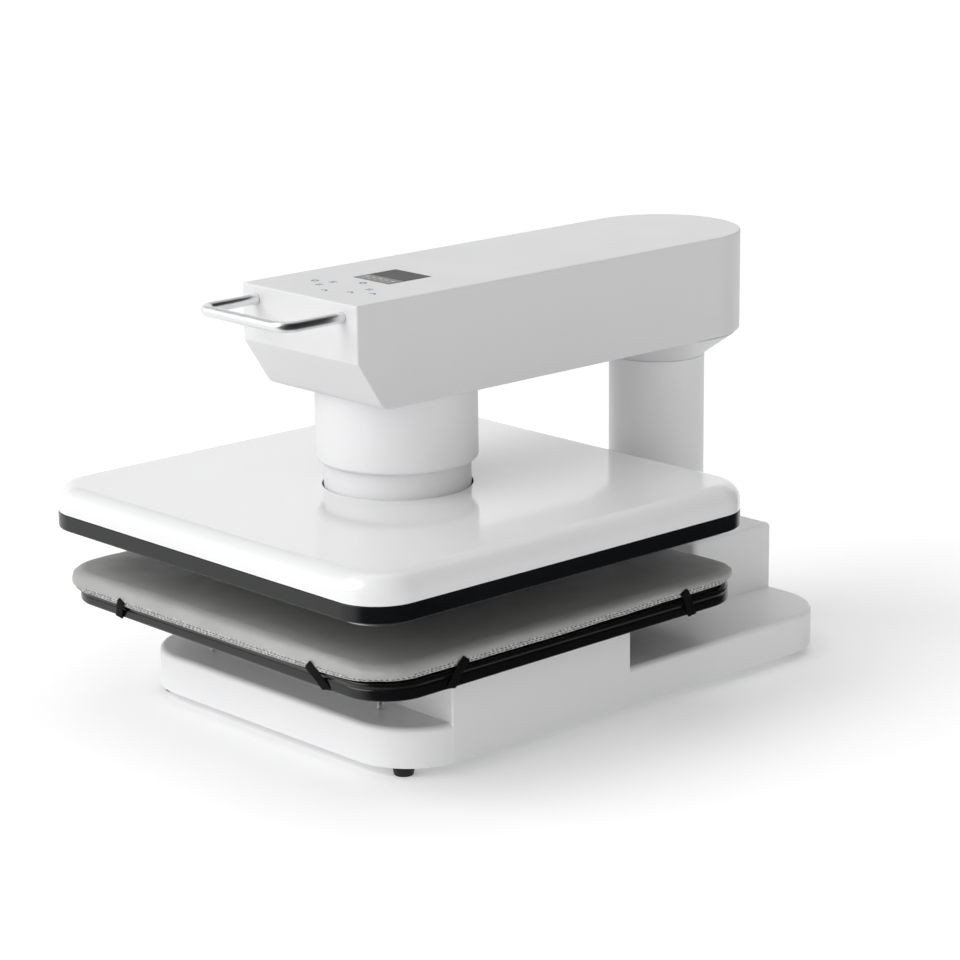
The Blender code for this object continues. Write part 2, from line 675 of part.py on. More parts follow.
def make_power_inlet():
    """An appliance inlet: a deep socket with two blades and an earth blade."""
    inlet = panel_part("power_inlet", INLET_X, INLET_BODY, INLET_BEZEL, "black_plastic")
    mouth = REAR_FACE + GAP + INLET_BEZEL[2]
    panel_hollow(inlet, "inlet_socket", INLET_X, INLET_SOCKET, mouth)
    root, tip = mouth - INLET_SOCKET[2] - 2 * MM, mouth - INLET_BLADE_SHORT
    half_x, half_z = INLET_BLADE[0] / 2, INLET_BLADE[1] / 2
    for index, (dx, dz) in enumerate(INLET_BLADES):
        x, z = INLET_X + dx, PANEL_Z + dz
        boolean(inlet, rounded_box(
            f"inlet_blade_{index}", (x - half_x, root, z - half_z), (x + half_x, tip, z + half_z), BASE, None,
        ), "UNION")
    return inlet


def make_power_switch():
    """A housing and its rocker: a block whose outer face is a shallow V, tilted to its off position."""
    housing = panel_part("switch_housing", SWITCH_X, SWITCH_BODY, SWITCH_BEZEL, "black_plastic")
    panel_hollow(housing, "switch_well", SWITCH_X, SWITCH_WELL, REAR_FACE + GAP + SWITCH_BEZEL[2])
    width, height, depth = ROCKER
    bm = block((width, depth, height))
    bmesh.ops.subdivide_edges(bm, edges=upright_edges(bm), cuts=1)
    for vert in bm.verts:
        if vert.co.y > 0 and abs(vert.co.z) < 1e-6:
            vert.co.y -= ROCKER_DIP
    bmesh.ops.rotate(bm, verts=bm.verts, matrix=Matrix.Rotation(radians(ROCKER_TILT), 3, "X"))
    bmesh.ops.translate(bm, verts=bm.verts, vec=(0, ROCKER_OUT, 0))
    rocker = add_object(
        "power_rocker", mesh_from(bm, "power_rocker"), ROCKER_BODY.location, ROCKER_BODY, "black_plastic",
    )
    return housing, rocker


# ---------------------------------------------------------------- arm

def arm_form(name, inset, bottom, body, finish, edge):
    """The arm's form shrunk by inset: a long box with a round rear end and a chamfer under its nose."""
    half = ARM_WIDTH / 2 - inset
    front = -ARM_FRONT + inset
    rear = OUTLINE_REAR - inset
    top = ARM_TOP - inset
    centre = Vector((0, (front + rear) / 2, (bottom + top) / 2))
    bm = block((2 * half, rear - front, top - bottom))
    bevel(bm, upright_edges(bm, rear_only=True), half - 0.05 * MM, 16)
    slope = hypot(CHAMFER_RUN, CHAMFER_RISE)
    normal = Vector((0, -CHAMFER_RISE / slope, -CHAMFER_RUN / slope))
    point = Vector((0, -ARM_FRONT + CHAMFER_RUN, ARM_BOTTOM)) - normal * inset - centre
    bmesh.ops.bisect_plane(
        bm, geom=bm.verts[:] + bm.edges[:] + bm.faces[:], plane_co=point, plane_no=normal, clear_outer=True,
    )
    bmesh.ops.holes_fill(bm, edges=[e for e in bm.edges if e.is_boundary], sides=0)
    if edge:
        bevel(bm, level_edges(bm, (top - bottom) / 2) + upright_edges(bm, front_only=True), edge, 2)
    return add_object(name, mesh_from(bm, name), centre + Vector((0, PRESS_Y, 0)), body, finish)


def make_arm_shell():
    shell = arm_form("arm_shell", 0, ARM_BOTTOM, ARM, "white_paint", ARM_EDGE)
    boolean(shell, arm_form("arm_hollow", ARM_WALL, ARM_BOTTOM - CUT, ARM, None, 0))
    display_y = PRESS_Y + DISPLAY_SHIFT
    window = slab_box(
        "display_hole", DISPLAY_X / 2 + GAP, DISPLAY_Y / 2 + GAP, display_y, ARM_TOP - ARM_WALL - CUT,
        ARM_TOP + CUT, ARM, None,
    )
    boolean(shell, window)
    for side, x in (("left", -HANDLE_X), ("right", HANDLE_X)):
        hole = cylinder(f"handle_hole_{side}", HANDLE_R + GAP, 0, ARM_WALL + 2 * CUT, x, 0, ARM, None, 24)
        hole.location = Vector((x, PRESS_Y - ARM_FRONT - CUT, ARM_TOP - HANDLE_BELOW_TOP)) - ARM.location
        hole.rotation_euler.x = pi / 2
        boolean(shell, hole)
    return shell


def make_arm_cover():
    """The flat plate that closes the arm underneath, inside its walls."""
    inset = ARM_WALL + GAP
    half = ARM_WIDTH / 2 - inset
    front = PRESS_Y - ARM_FRONT + CHAMFER_RUN + inset * hypot(CHAMFER_RUN, CHAMFER_RISE) / CHAMFER_RISE
    rear = PRESS_Y + OUTLINE_REAR - inset
    bm = block((2 * half, rear - front, COVER_PLATE))
    bevel(bm, upright_edges(bm, rear_only=True), half - 0.05 * MM, 16)
    plate = add_object(
        "arm_bottom_cover", mesh_from(bm, "arm_bottom_cover"),
        (0, (front + rear) / 2, ARM_BOTTOM + COVER_PLATE / 2), ARM, "white_paint",
    )
    low, high = ARM_BOTTOM - CUT, COVER_PLATE_TOP + CUT
    drill(plate, "screw_opening", COVER_OPENING_R, low, high, 0, PRESS_Y, ARM)
    drill(plate, "post_opening", POST_R + BUSH_WALL, low, high, 0, COLUMN_Y, ARM)
    for side, x in (("left", -GUIDE_X), ("right", GUIDE_X)):
        drill(plate, f"guide_opening_{side}", GUIDE_R + 2 * GAP, low, high, x, PRESS_Y, ARM, 12)
    return plate


def make_swing_collar():
    """The cone between arm and column. A recess in it takes the thrust washer."""
    washer_r = WASHER_R + GAP
    recess = WASHER_BOTTOM + WASHER + GAP
    edge = COLLAR_EDGE
    return turned(
        "swing_collar",
        [
            (COLLAR_R, COLLAR_TOP), (COLLAR_R, COLLAR_TOP - edge), (COLLAR_FOOT_R, COLLAR_BOTTOM + edge),
            (COLLAR_FOOT_R, COLLAR_BOTTOM), (washer_r, COLLAR_BOTTOM), (washer_r, recess),
            (POST_R + GAP, recess), (POST_R + GAP, COLLAR_TOP),
        ],
        0, COLUMN_Y, ARM, "white_paint", 48,
    )


def make_arm_beam():
    """A pressed channel that ties the swing hub to the screw bearing."""
    front, rear = PRESS_Y - BEAM_FRONT, COLUMN_Y + BEAM_REAR
    half = BEAM_WIDTH / 2
    inner = half - BEAM_GAUGE
    beam = rounded_box("arm_beam", (-half, front, BEAM_BOTTOM), (half, rear, BEAM_TOP), ARM, "steel")
    boolean(beam, rounded_box("beam_channel", (-inner, front - CUT, BEAM_FLOOR),
                              (inner, rear + CUT, BEAM_TOP + CUT), ARM, None))
    low, high = BEAM_BOTTOM - CUT, BEAM_FLOOR + CUT
    drill(beam, "beam_screw_hole", SCREW_R + 2 * GAP, low, high, 0, PRESS_Y, ARM, 24)
    drill(beam, "beam_post_hole", POST_R + BUSH_WALL, low, high, 0, COLUMN_Y, ARM)
    for side, x in (("left", -GUIDE_X), ("right", GUIDE_X)):
        drill(beam, f"beam_guide_hole_{side}", GUIDE_R + 2 * GAP, low, high, x, PRESS_Y, ARM, 12)
    return beam


def make_swing_hub():
    flange_top = HUB_BOTTOM + HUB_FLANGE
    turned(
        "swing_hub",
        [
            (HUB_R, HUB_TOP), (HUB_R, flange_top), (HUB_FLANGE_R, flange_top), (HUB_FLANGE_R, HUB_BOTTOM),
            (HUB_BORE, HUB_BOTTOM), (HUB_BORE, HUB_TOP),
        ],
        0, COLUMN_Y, ARM, "steel", 24,
    )
    for name, bottom in (("lower_swing_bush", HUB_BOTTOM), ("upper_swing_bush", HUB_TOP - BUSH_LENGTH)):
        ring(name, BUSH_R, POST_R + GAP, bottom, bottom + BUSH_LENGTH, 0, COLUMN_Y, ARM, "bronze")


def make_handle():
    """A bent round bar. Its two legs pass through the arm's front wall into nuts."""
    front = PRESS_Y - ARM_FRONT
    z = ARM_TOP - HANDLE_BELOW_TOP
    tail, bar = front + HANDLE_TAIL, front - HANDLE_REACH
    curve = bpy.data.curves.new("handle", "CURVE")
    curve.dimensions = "3D"
    curve.bevel_depth = HANDLE_R
    curve.bevel_resolution = 2
    curve.use_fill_caps = True
    points = [(-HANDLE_X, tail)]
    steps = 6
    for corner in (-1, 1):
        for step in range(steps + 1):
            turn = pi / 2 * (step if corner < 0 else steps - step) / steps
            x = corner * (HANDLE_X - HANDLE_BEND + HANDLE_BEND * cos(turn))
            points.append((x, bar + HANDLE_BEND - HANDLE_BEND * sin(turn)))
    points.append((HANDLE_X, tail))
    spline = curve.splines.new("POLY")
    spline.points.add(len(points) - 1)
    for point, (x, y) in zip(spline.points, points):
        point.co = (x, y - COLUMN_Y, z - COLUMN_TOP, 1)
    handle = bpy.data.objects.new("handle", curve)
    handle.parent = ARM
    curve.materials.append(MATERIALS["aluminium"])
    PARTS.objects.link(handle)
    for side, x in (("left", -HANDLE_X), ("right", HANDLE_X)):
        bore = (HANDLE_R + GAP) / cos(pi / 6)
        nut = ring(f"handle_nut_{side}", HANDLE_NUT_R, bore, 0, HANDLE_NUT, x, 0, ARM, "steel", 6)
        nut.location = Vector((x, front + ARM_WALL + GAP, z)) - ARM.location
        nut.rotation_euler.x = pi / 2


def make_display():
    """The display's glass, flush with the arm's top, and the control board under it."""
    slab_box("display_window", DISPLAY_X / 2, DISPLAY_Y / 2, PRESS_Y + DISPLAY_SHIFT, ARM_TOP - DISPLAY_GLASS,
             ARM_TOP, ARM, "black_glass", corner=DISPLAY_CORNER, corner_steps=2)
    top = ARM_TOP - ARM_WALL - GAP
    panel = slab_box("control_board", ARM_WIDTH / 2 - BOARD_MARGIN, BOARD_HALF_Y, PRESS_Y + BOARD_SHIFT,
                     top - BOARD, top, ARM, "board_green")
    chip = slab_box("board_chip", CHIP_HALF, CHIP_HALF, PRESS_Y + CHIP_SHIFT, top - CHIP_DEPTH, top - BOARD / 2,
                    ARM, None)
    return boolean(panel, chip, "UNION")


def make_power_supply():
    """The electronics box on the beam, between the motor and the swing hub."""
    width, length, height = SUPPLY
    behind_motor = MOTOR_BACK + BRACKET_HALF + SUPPLY_BEHIND
    before_hub = COLUMN_BACK - HUB_FLANGE_R - SUPPLY_CLEAR - length
    front, bottom = PRESS_Y + min(behind_motor, before_hub), BEAM_FLOOR + GAP
    rounded_box("power_supply", (-width / 2, front, bottom), (width / 2, front + length, bottom + height - GAP),
                ARM, "aluminium", corner=1 * MM, corner_steps=1)


# ---------------------------------------------------------------- press drive

def make_cylinder_housing():
    fillet, cap, opening = CYLINDER_FILLET, CYLINDER_CAP, COVER_OPENING_R
    inner = CYLINDER_R - CYLINDER_WALL
    top = ARM_BOTTOM - GAP
    arc = [
        (CYLINDER_R - fillet + fillet * cos(t), CYLINDER_BOTTOM + fillet - fillet * sin(t))
        for t in (0, pi / 6, pi / 3, pi / 2)
    ]
    housing = turned(
        "cylinder_housing",
        [
            (CYLINDER_R, top), *arc, (inner, CYLINDER_BOTTOM), (inner, top - cap), (opening, top - cap),
            (opening, top),
        ],
        0, PRESS_Y, ARM, "white_paint", 48,
    )
    for side, x in (("left", -GUIDE_X), ("right", GUIDE_X)):
        drill(housing, f"housing_guide_hole_{side}", GUIDE_R + 2 * GAP, top - cap - CUT, top + CUT, x, PRESS_Y,
              ARM, 12)
    return housing


def make_ram():
    """The tube that telescopes out of the cylinder housing. Its cap holds the nut and the two guide rods."""
    inner = RAM_R - RAM_WALL
    lip, lip_top = inner - RAM_FLANGE_WIDTH, RAM_BOTTOM + RAM_FLANGE
    shoulder = RAM_TOP - RAM_CAP
    ram = turned(
        "ram_sleeve",
        [
            (RAM_R, RAM_TOP), (RAM_R, RAM_BOTTOM), (lip, RAM_BOTTOM), (lip, lip_top), (inner, lip_top),
            (inner, shoulder), (NUT_R + GAP, shoulder), (NUT_R + GAP, RAM_TOP),
        ],
        0, PRESS_Y, HEAD, "white_paint", 48,
    )
    collar_r, nut_bottom = NUT_R + NUT_COLLAR, RAM_TOP - NUT_HEIGHT
    turned(
        "drive_nut",
        [
            (NUT_R, RAM_TOP), (NUT_R, shoulder - GAP), (collar_r, shoulder - GAP), (collar_r, nut_bottom),
            (SCREW_R + GAP, nut_bottom), (SCREW_R + GAP, RAM_TOP),
        ],
        0, PRESS_Y, HEAD, "bronze", 20,
    )
    for side, x in (("left", -GUIDE_X), ("right", GUIDE_X)):
        drill(ram, f"ram_rod_hole_{side}", GUIDE_R + GAP, shoulder - CUT, RAM_TOP + CUT, x, PRESS_Y, HEAD, 12)
        cylinder(f"guide_rod_{side}", GUIDE_R, shoulder - RAM_CAP, BEAM_TOP + GUIDE_ABOVE_BEAM, x, PRESS_Y,
                 HEAD, "steel", 12)
    return ram


def make_screw():
    top = PULLEY_TOP + SCREW_ABOVE_PULLEY
    cylinder("lead_screw", SCREW_R, SCREW_BOTTOM, top, 0, PRESS_Y, SCREW, "steel", 24)
    pulley("screw_pulley", SCREW_PULLEY_R, SCREW_R + GAP, PRESS_Y, SCREW)
    ring("screw_bearing", BEARING_R, SCREW_R + GAP, BEARING_BOTTOM, BEARING_BOTTOM + BEARING_HEIGHT, 0, PRESS_Y,
         ARM, "steel")


def pulley(name, radius, bore, y, body):
    rim = radius + BELT + 1 * MM
    low, high = PULLEY_BOTTOM, PULLEY_TOP
    turned(
        name,
        [
            (rim, high), (rim, high - PULLEY_FLANGE), (radius, high - PULLEY_FLANGE),
            (radius, low + PULLEY_FLANGE), (rim, low + PULLEY_FLANGE), (rim, low), (bore, low), (bore, high),
        ],
        0, y, body, "aluminium", 20,
    )


def make_motor():
    bracket = rounded_box(
        "motor_bracket", (-BEAM_WIDTH / 2, MOTOR_Y - BRACKET_HALF, BRACKET_BOTTOM),
        (BEAM_WIDTH / 2, MOTOR_Y + BRACKET_HALF, BRACKET_TOP), ARM, "steel",
    )
    drill(bracket, "bracket_hole", SHAFT_R + BRACKET_BORE, BRACKET_BOTTOM - CUT, BRACKET_TOP + CUT, 0, MOTOR_Y,
          ARM, 24)
    top, bore, bore_top = MOTOR_BOTTOM + MOTOR_HEIGHT, SHAFT_R + GAP, MOTOR_BOTTOM + MOTOR_BORE_DEPTH
    motor = turned(
        "motor",
        [
            (0, top), (MOTOR_R - MOTOR_EDGE, top), (MOTOR_R, top - MOTOR_EDGE), (MOTOR_R, MOTOR_BOTTOM),
            (bore, MOTOR_BOTTOM), (bore, bore_top), (0, bore_top),
        ],
        0, MOTOR_Y, ARM, "black_steel", 24,
    )
    cylinder("motor_shaft", SHAFT_R, PULLEY_BOTTOM, bore_top - 1 * MM, 0, MOTOR_Y, MOTOR_SHAFT, "steel", 16)
    pulley("motor_pulley", MOTOR_PULLEY_R, SHAFT_R + GAP, MOTOR_Y, MOTOR_SHAFT)
    return motor


def belt_outline(extra):
    """The loop round both pulleys, extra outside their grooves, about the middle of the two axes."""
    big, small = SCREW_PULLEY_R + extra, MOTOR_PULLEY_R + extra
    lean = asin((big - small) / MOTOR_BACK)
    points = []
    for radius, y, start, end in (
        (big, -MOTOR_BACK / 2, pi - lean, 2 * pi + lean),
        (small, MOTOR_BACK / 2, lean, pi - lean),
    ):
        steps = 14
        for step in range(steps + 1):
            turn = start + (end - start) * step / steps
            points.append((radius * cos(turn), y + radius * sin(turn)))
    return points


def make_belt():
    middle = (PULLEY_BOTTOM + PULLEY_TOP) / 2
    loops = []
    for name, extra, depth in (("drive_belt", BELT + GAP, BELT_WIDTH), ("belt_inside", GAP, BELT_WIDTH + CUT)):
        curve = bpy.data.curves.new(name, "CURVE")
        curve.dimensions = "2D"
        curve.fill_mode = "BOTH"
        curve.extrude = depth / 2
        outline = belt_outline(extra)
        spline = curve.splines.new("POLY")
        spline.points.add(len(outline) - 1)
        for point, (x, y) in zip(spline.points, outline):
            point.co = (x, y, 0, 1)
        spline.use_cyclic_u = True
        source = bpy.data.objects.new(f"{name}_curve", curve)
        CUTTERS.objects.link(source)
        bpy.context.view_layer.update()
        evaluated = source.evaluated_get(bpy.context.evaluated_depsgraph_get())
        mesh = bpy.data.meshes.new_from_object(evaluated)
        bpy.data.objects.remove(source, do_unlink=True)
        bm = bmesh.new()
        bm.from_mesh(mesh)
        bmesh.ops.remove_doubles(bm, verts=bm.verts, dist=0.00001)
        mesh = mesh_from(bm, name)
        finish = "rubber" if name == "drive_belt" else None
        loops.append(add_object(name, mesh, (0, PRESS_Y + MOTOR_BACK / 2, middle), ARM, finish))
    return boolean(loops[0], loops[1])


# ---------------------------------------------------------------- heated head

def make_platen():
    half = PLATEN / 2
    wall = COVER_WALL
    cover = slab_box(
        "platen_cover", half, half, PRESS_Y, COVER_BOTTOM, PLATEN_TOP, HEAD, "white_gloss",
        corner=PLATEN_CORNER, top_round=COVER_FILLET, corner_steps=9, edge_steps=5,
    )
    boolean(cover, slab_box(
        "cover_hollow", half - wall, half - wall, PRESS_Y, COVER_BOTTOM - CUT, PLATEN_TOP - wall, HEAD, None,
        corner=PLATEN_CORNER - wall, top_round=COVER_FILLET - wall,
    ))
    drill(cover, "ram_hole", RAM_R + SLIDE, PLATEN_TOP - wall - CUT, PLATEN_TOP + CUT, 0, PRESS_Y, HEAD, 48)

    rim = slab_box(
        "platen_rim", half, half, PRESS_Y, RIM_BOTTOM, RIM_TOP, HEAD, "black_satin",
        corner=PLATEN_CORNER, bottom_round=1.2 * MM, edge_steps=1, corner_steps=9,
    )
    for name, inset, bottom in (("rim_opening", RIM_LIP, -CUT), ("rim_hollow", RIM_WALL, RIM_WALL)):
        boolean(rim, slab_box(
            name, half - inset, half - inset, PRESS_Y, RIM_BOTTOM + bottom, RIM_TOP + CUT, HEAD, None,
            corner=PLATEN_CORNER - inset,
        ))

    plate_half = half - RIM_LIP - 2 * GAP
    plate_corner = PLATEN_CORNER - RIM_LIP - 2 * GAP
    slab_box("heating_plate", plate_half, plate_half, PRESS_Y, PLATE_BOTTOM, PLATE_TOP, HEAD, "aluminium",
             corner=plate_corner, bottom_round=1 * MM, edge_steps=1)
    for name, finish, bottom, thickness in (
        ("insulation_board", "insulation", BOARD_BOTTOM, BOARD_THICKNESS),
        ("backing_plate", "steel", BACKING_BOTTOM, BACKING_THICKNESS),
    ):
        slab_box(name, plate_half, plate_half, PRESS_Y, bottom, bottom + thickness, HEAD, finish,
                 corner=plate_corner, corner_steps=5)
    thermostat_x, thermostat_y = THERMOSTAT_PLACE
    thermostat_bottom = BACKING_TOP + GAP
    cylinder("thermostat", THERMOSTAT_R, thermostat_bottom, thermostat_bottom + THERMOSTAT_HEIGHT, thermostat_x,
             PRESS_Y + thermostat_y, HEAD, "aluminium", 20)


def make_all():
    make_base_shell()
    make_base_plate()
    make_feet()
    make_column()
    make_tray()
    make_pad()
    make_straps()
    make_studs()
    make_power_inlet()
    make_power_switch()
    make_arm_shell()
    make_arm_cover()
    make_swing_collar()
    make_arm_beam()
    make_swing_hub()
    make_handle()
    make_display()
    make_power_supply()
    make_cylinder_housing()
    make_ram()
    make_screw()
    make_motor()
    make_belt()
    make_platen()


make_all()
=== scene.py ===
from math import cos, exp, floor, hypot, pi, radians, sin

import bmesh
import bpy
import numpy as np
from mathutils import Matrix, Vector, noise


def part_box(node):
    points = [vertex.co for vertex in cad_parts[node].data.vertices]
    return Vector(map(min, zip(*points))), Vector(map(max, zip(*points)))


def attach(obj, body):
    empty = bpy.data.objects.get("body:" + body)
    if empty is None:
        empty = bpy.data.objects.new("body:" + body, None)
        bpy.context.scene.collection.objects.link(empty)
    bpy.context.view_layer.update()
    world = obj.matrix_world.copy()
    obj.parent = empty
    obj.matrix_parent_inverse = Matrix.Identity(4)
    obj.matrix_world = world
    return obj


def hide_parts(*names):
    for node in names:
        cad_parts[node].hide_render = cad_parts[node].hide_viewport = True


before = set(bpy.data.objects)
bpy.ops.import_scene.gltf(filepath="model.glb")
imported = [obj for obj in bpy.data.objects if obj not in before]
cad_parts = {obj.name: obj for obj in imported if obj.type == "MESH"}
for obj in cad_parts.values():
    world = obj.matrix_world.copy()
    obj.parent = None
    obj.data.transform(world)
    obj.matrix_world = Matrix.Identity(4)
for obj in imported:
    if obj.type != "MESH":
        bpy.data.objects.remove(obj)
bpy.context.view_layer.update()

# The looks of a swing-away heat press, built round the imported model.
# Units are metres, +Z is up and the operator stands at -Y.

MM = 0.001
SCENE = bpy.context.scene
SCENE.view_settings.view_transform = "Standard"
CORNERS = ("front_left", "front_right", "rear_left", "rear_right")
WHITE = (1, 1, 1, 1)
FINISHES = {}  # the materials, by name


def measures(node):
    """A CAD node's box: its low and high corners, its centre and its half size."""
    low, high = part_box(node)
    return low, high, (low + high) / 2, (high - low) / 2


def middle(node):
    return measures(node)[2]


def half_size(node):
    return measures(node)[3]


PRESS = middle("cylinder_housing")  # the press axis
POST = middle("column")  # the swing axis


# ------------ camera, light and floor

def make_camera():
    """A long lens from the front right, a little above the object and rolled by half a degree."""
    azimuth, elevation, roll = radians(47.19), radians(14.72), radians(-0.567)
    back = Vector((sin(azimuth) * cos(elevation), -cos(azimuth) * cos(elevation), sin(elevation)))
    right = Vector((cos(azimuth), sin(azimuth), 0))
    up = back.cross(right)
    rolled_right = right * cos(roll) + up * sin(roll)
    rolled_up = up * cos(roll) - right * sin(roll)
    data = bpy.data.cameras.new("studio_camera")
    data.sensor_width = 36.0
    data.lens = 118.64
    data.clip_end = 100.0
    camera = bpy.data.objects.new("studio_camera", data)
    turned_to = Matrix((rolled_right, rolled_up, back)).transposed().to_4x4()
    camera.matrix_world = Matrix.Translation((1.7997, PRESS.y - 1.5795, 0.8054)) @ turned_to
    SCENE.collection.objects.link(camera)
    SCENE.camera = camera


def add_node(tree, kind, inputs=None, **settings):
    """A shader node with its settings, and values or other nodes' outputs on its inputs."""
    node = tree.nodes.new("ShaderNode" + kind)
    for key, value in settings.items():
        setattr(node, key, value)
    for key, value in (inputs or {}).items():
        if isinstance(value, bpy.types.NodeSocket):
            tree.links.new(value, node.inputs[key])
        else:
            node.inputs[key].default_value = value
    return node


def mix_shaders(tree, fac, first, second):
    return add_node(tree, "MixShader", {"Fac": fac, 1: first, 2: second}).outputs[0]


def grey_ramp(tree, source, stops):
    """Grey levels along a value, eased between (position, level) stops."""
    node = add_node(tree, "ValToRGB", {"Fac": source})
    ramp = node.color_ramp
    ramp.interpolation = "EASE"
    while len(ramp.elements) < len(stops):
        ramp.elements.new(0.5)
    for element, (position, level) in zip(ramp.elements, stops):
        element.position = position
        element.color = (level, level, level, 1)
    return node.outputs["Color"]


def make_world(ambient=0.256, right_side=0.02):
    """Even soft light. Mirror-like surfaces see a studio that is dark on the right and at mid height."""
    world = bpy.data.worlds.new("studio")
    world.use_nodes = True
    tree = world.node_tree
    tree.nodes.clear()
    spot = add_node(tree, "TexCoord").outputs["Generated"]
    split = add_node(tree, "SeparateXYZ", {0: spot}).outputs
    sideways = add_node(tree, "MapRange", {"From Min": -1.0, "Value": split["X"]}).outputs[0]
    by_height = grey_ramp(tree, split["Z"], ((0, 1), (0.42, 1), (0.54, 0.35), (0.68, 0.30), (0.80, 1)))
    by_side = grey_ramp(tree, sideways, ((0, 1), (0.36, 1), (0.60, right_side), (1, right_side)))
    seen = add_node(
        tree, "Mix", {"Factor": 1.0, "A": by_height, "B": by_side}, data_type="RGBA", blend_type="MULTIPLY",
    ).outputs["Result"]
    lit, mirrored, plain = (
        add_node(tree, "Background", {"Color": colour, "Strength": strength}).outputs[0]
        for colour, strength in ((WHITE, ambient), (seen, 1.0), (WHITE, 1.0))
    )
    rays = add_node(tree, "LightPath").outputs
    by_gloss = mix_shaders(tree, rays["Is Glossy Ray"], lit, mirrored)
    by_camera = mix_shaders(tree, rays["Is Camera Ray"], by_gloss, plain)
    add_node(tree, "OutputWorld", {"Surface": by_camera})
    SCENE.world = world


def make_light(name, strength, softness, azimuth, elevation, mirrored=False):
    """A broad soft light. Azimuth 0 is in front of the object and 90 on its right, in degrees."""
    data = bpy.data.lights.new(name, "SUN")
    data.energy = strength
    data.angle = radians(softness)
    light = bpy.data.objects.new(name, data)
    turn, rise = radians(azimuth), radians(elevation)
    towards = Vector((sin(turn) * cos(rise), -cos(turn) * cos(rise), sin(rise)))
    light.rotation_mode = "QUATERNION"
    light.rotation_quaternion = towards.to_track_quat("Z", "Y")
    light.visible_glossy = mirrored
    SCENE.collection.objects.link(light)


def make_lights():
    make_light("front_light", 1.48, 50, -26, 38, True)
    make_light("overhead_light", 0.9, 80, -40, 78)
    make_light("low_light", 0.45, 40, 8, 8)
    make_light("fill_light", 0.55, 60, 58, 14)


def make_floor(radius=14.0, glow=0.20):
    """A white sweep. Its right half is dark to mirror-like surfaces, as a studio's black flag makes it."""
    bm = bmesh.new()
    bmesh.ops.create_circle(bm, cap_ends=True, radius=radius, segments=96)
    mesh = bpy.data.meshes.new("studio_floor")
    bm.to_mesh(mesh)
    bm.free()
    material = bpy.data.materials.new("studio_floor")
    material.use_nodes = True
    tree = material.node_tree
    shader = tree.nodes["Principled BSDF"]
    for key, value in (
        ("Base Color", (0.95, 0.95, 0.95, 1)), ("Roughness", 0.9), ("Specular IOR Level", 0.0),
        ("Emission Color", WHITE), ("Emission Strength", glow),
    ):
        shader.inputs[key].default_value = value
    spot = add_node(tree, "TexCoord").outputs["Object"]
    across = add_node(tree, "SeparateXYZ", {0: spot}).outputs["X"]
    span = {"From Min": 0.10, "From Max": 0.26, "To Min": 1.0, "To Max": 0.03}
    level = add_node(tree, "MapRange", {"Value": across, **span}).outputs[0]
    flag = add_node(tree, "Emission", {"Strength": level}).outputs[0]
    glossy = add_node(tree, "LightPath").outputs["Is Glossy Ray"]
    shown = mix_shaders(tree, glossy, shader.outputs[0], flag)
    tree.links.new(shown, tree.nodes["Material Output"].inputs["Surface"])
    mesh.materials.append(material)
    sweep = bpy.data.objects.new("studio_floor", mesh)
    SCENE.collection.objects.link(sweep)


# ------------ materials

class Finish:
    """A procedural material: a colour that drifts between two tones, varied roughness and fine bump."""

    def __init__(
        self, name, tones, roughness, metallic=0.0, drift=9.0, grain=900.0, bump=0.02, depth=0.1 * MM,
    ):
        material = FINISHES[name] = bpy.data.materials.new(name)
        material.use_nodes = True
        self.tree = material.node_tree
        self.shader = self.tree.nodes["Principled BSDF"]
        self.shader.inputs["Metallic"].default_value = metallic
        self.place = self.add("TexCoord").outputs["Object"]
        self.bump = None
        spread = (0.3, 0.7)  # the middle of a noise's values, where most of them lie
        colour = self.add("ValToRGB", {"Fac": self.noise(drift, 4)})
        for element, position, tone in zip(colour.color_ramp.elements, spread, tones):
            element.position = position
            element.color = (*tone, 1)
        rough = self.add("MapRange", {
            "Value": self.noise(drift * 3.1, 5), "From Min": spread[0], "From Max": spread[1],
            "To Min": roughness[0], "To Max": roughness[1],
        })
        self.tree.links.new(colour.outputs["Color"], self.shader.inputs["Base Color"])
        self.tree.links.new(rough.outputs["Result"], self.shader.inputs["Roughness"])
        self.raise_by(self.noise(grain), bump, depth)

    def add(self, kind, inputs=None, **settings):
        return add_node(self.tree, kind, inputs, **settings)

    def set(self, **values):
        for key, value in values.items():
            self.shader.inputs[key.replace("_", " ")].default_value = value

    def noise(self, scale, detail=3, stretch=None):
        place = self.place
        if stretch:
            place = self.add("Mapping", {"Scale": stretch, "Vector": place}).outputs[0]
        return self.add("TexNoise", {"Scale": scale, "Detail": detail, "Vector": place}).outputs["Fac"]

    def wave(self, scale, axis, distortion=0.0):
        inputs = {"Scale": scale, "Distortion": distortion, "Vector": self.place}
        return self.add("TexWave", inputs, bands_direction=axis).outputs["Fac"]

    def raise_by(self, height, strength, distance):
        """One more layer of bump, on top of the layers so far."""
        inputs = {"Strength": strength, "Distance": distance, "Height": height}
        if self.bump is not None:
            inputs["Normal"] = self.bump
        self.bump = self.add("Bump", inputs).outputs[0]
        self.tree.links.new(self.bump, self.shader.inputs["Normal"])


def powder_coat(name, tone):
    """Satin powder coat: a faint orange peel with finer grain on it."""
    tones = (tone, tone, tone * 1.012), (tone * 1.025, tone * 1.025, tone * 1.033)
    finish = Finish(name, tones, (0.36, 0.44), drift=7, grain=1500, bump=0.10, depth=0.05 * MM)
    finish.raise_by(finish.noise(260, 2), 0.06, 0.12 * MM)
    finish.set(Specular_IOR_Level=0.45)


def gloss_lacquer():
    tones = (0.79, 0.79, 0.795), (0.81, 0.81, 0.815)
    finish = Finish("white_gloss", tones, (0.10, 0.16), drift=5, grain=320, bump=0.025, depth=0.08 * MM)
    finish.set(Coat_Weight=0.6, Coat_Roughness=0.06, Specular_IOR_Level=0.5)


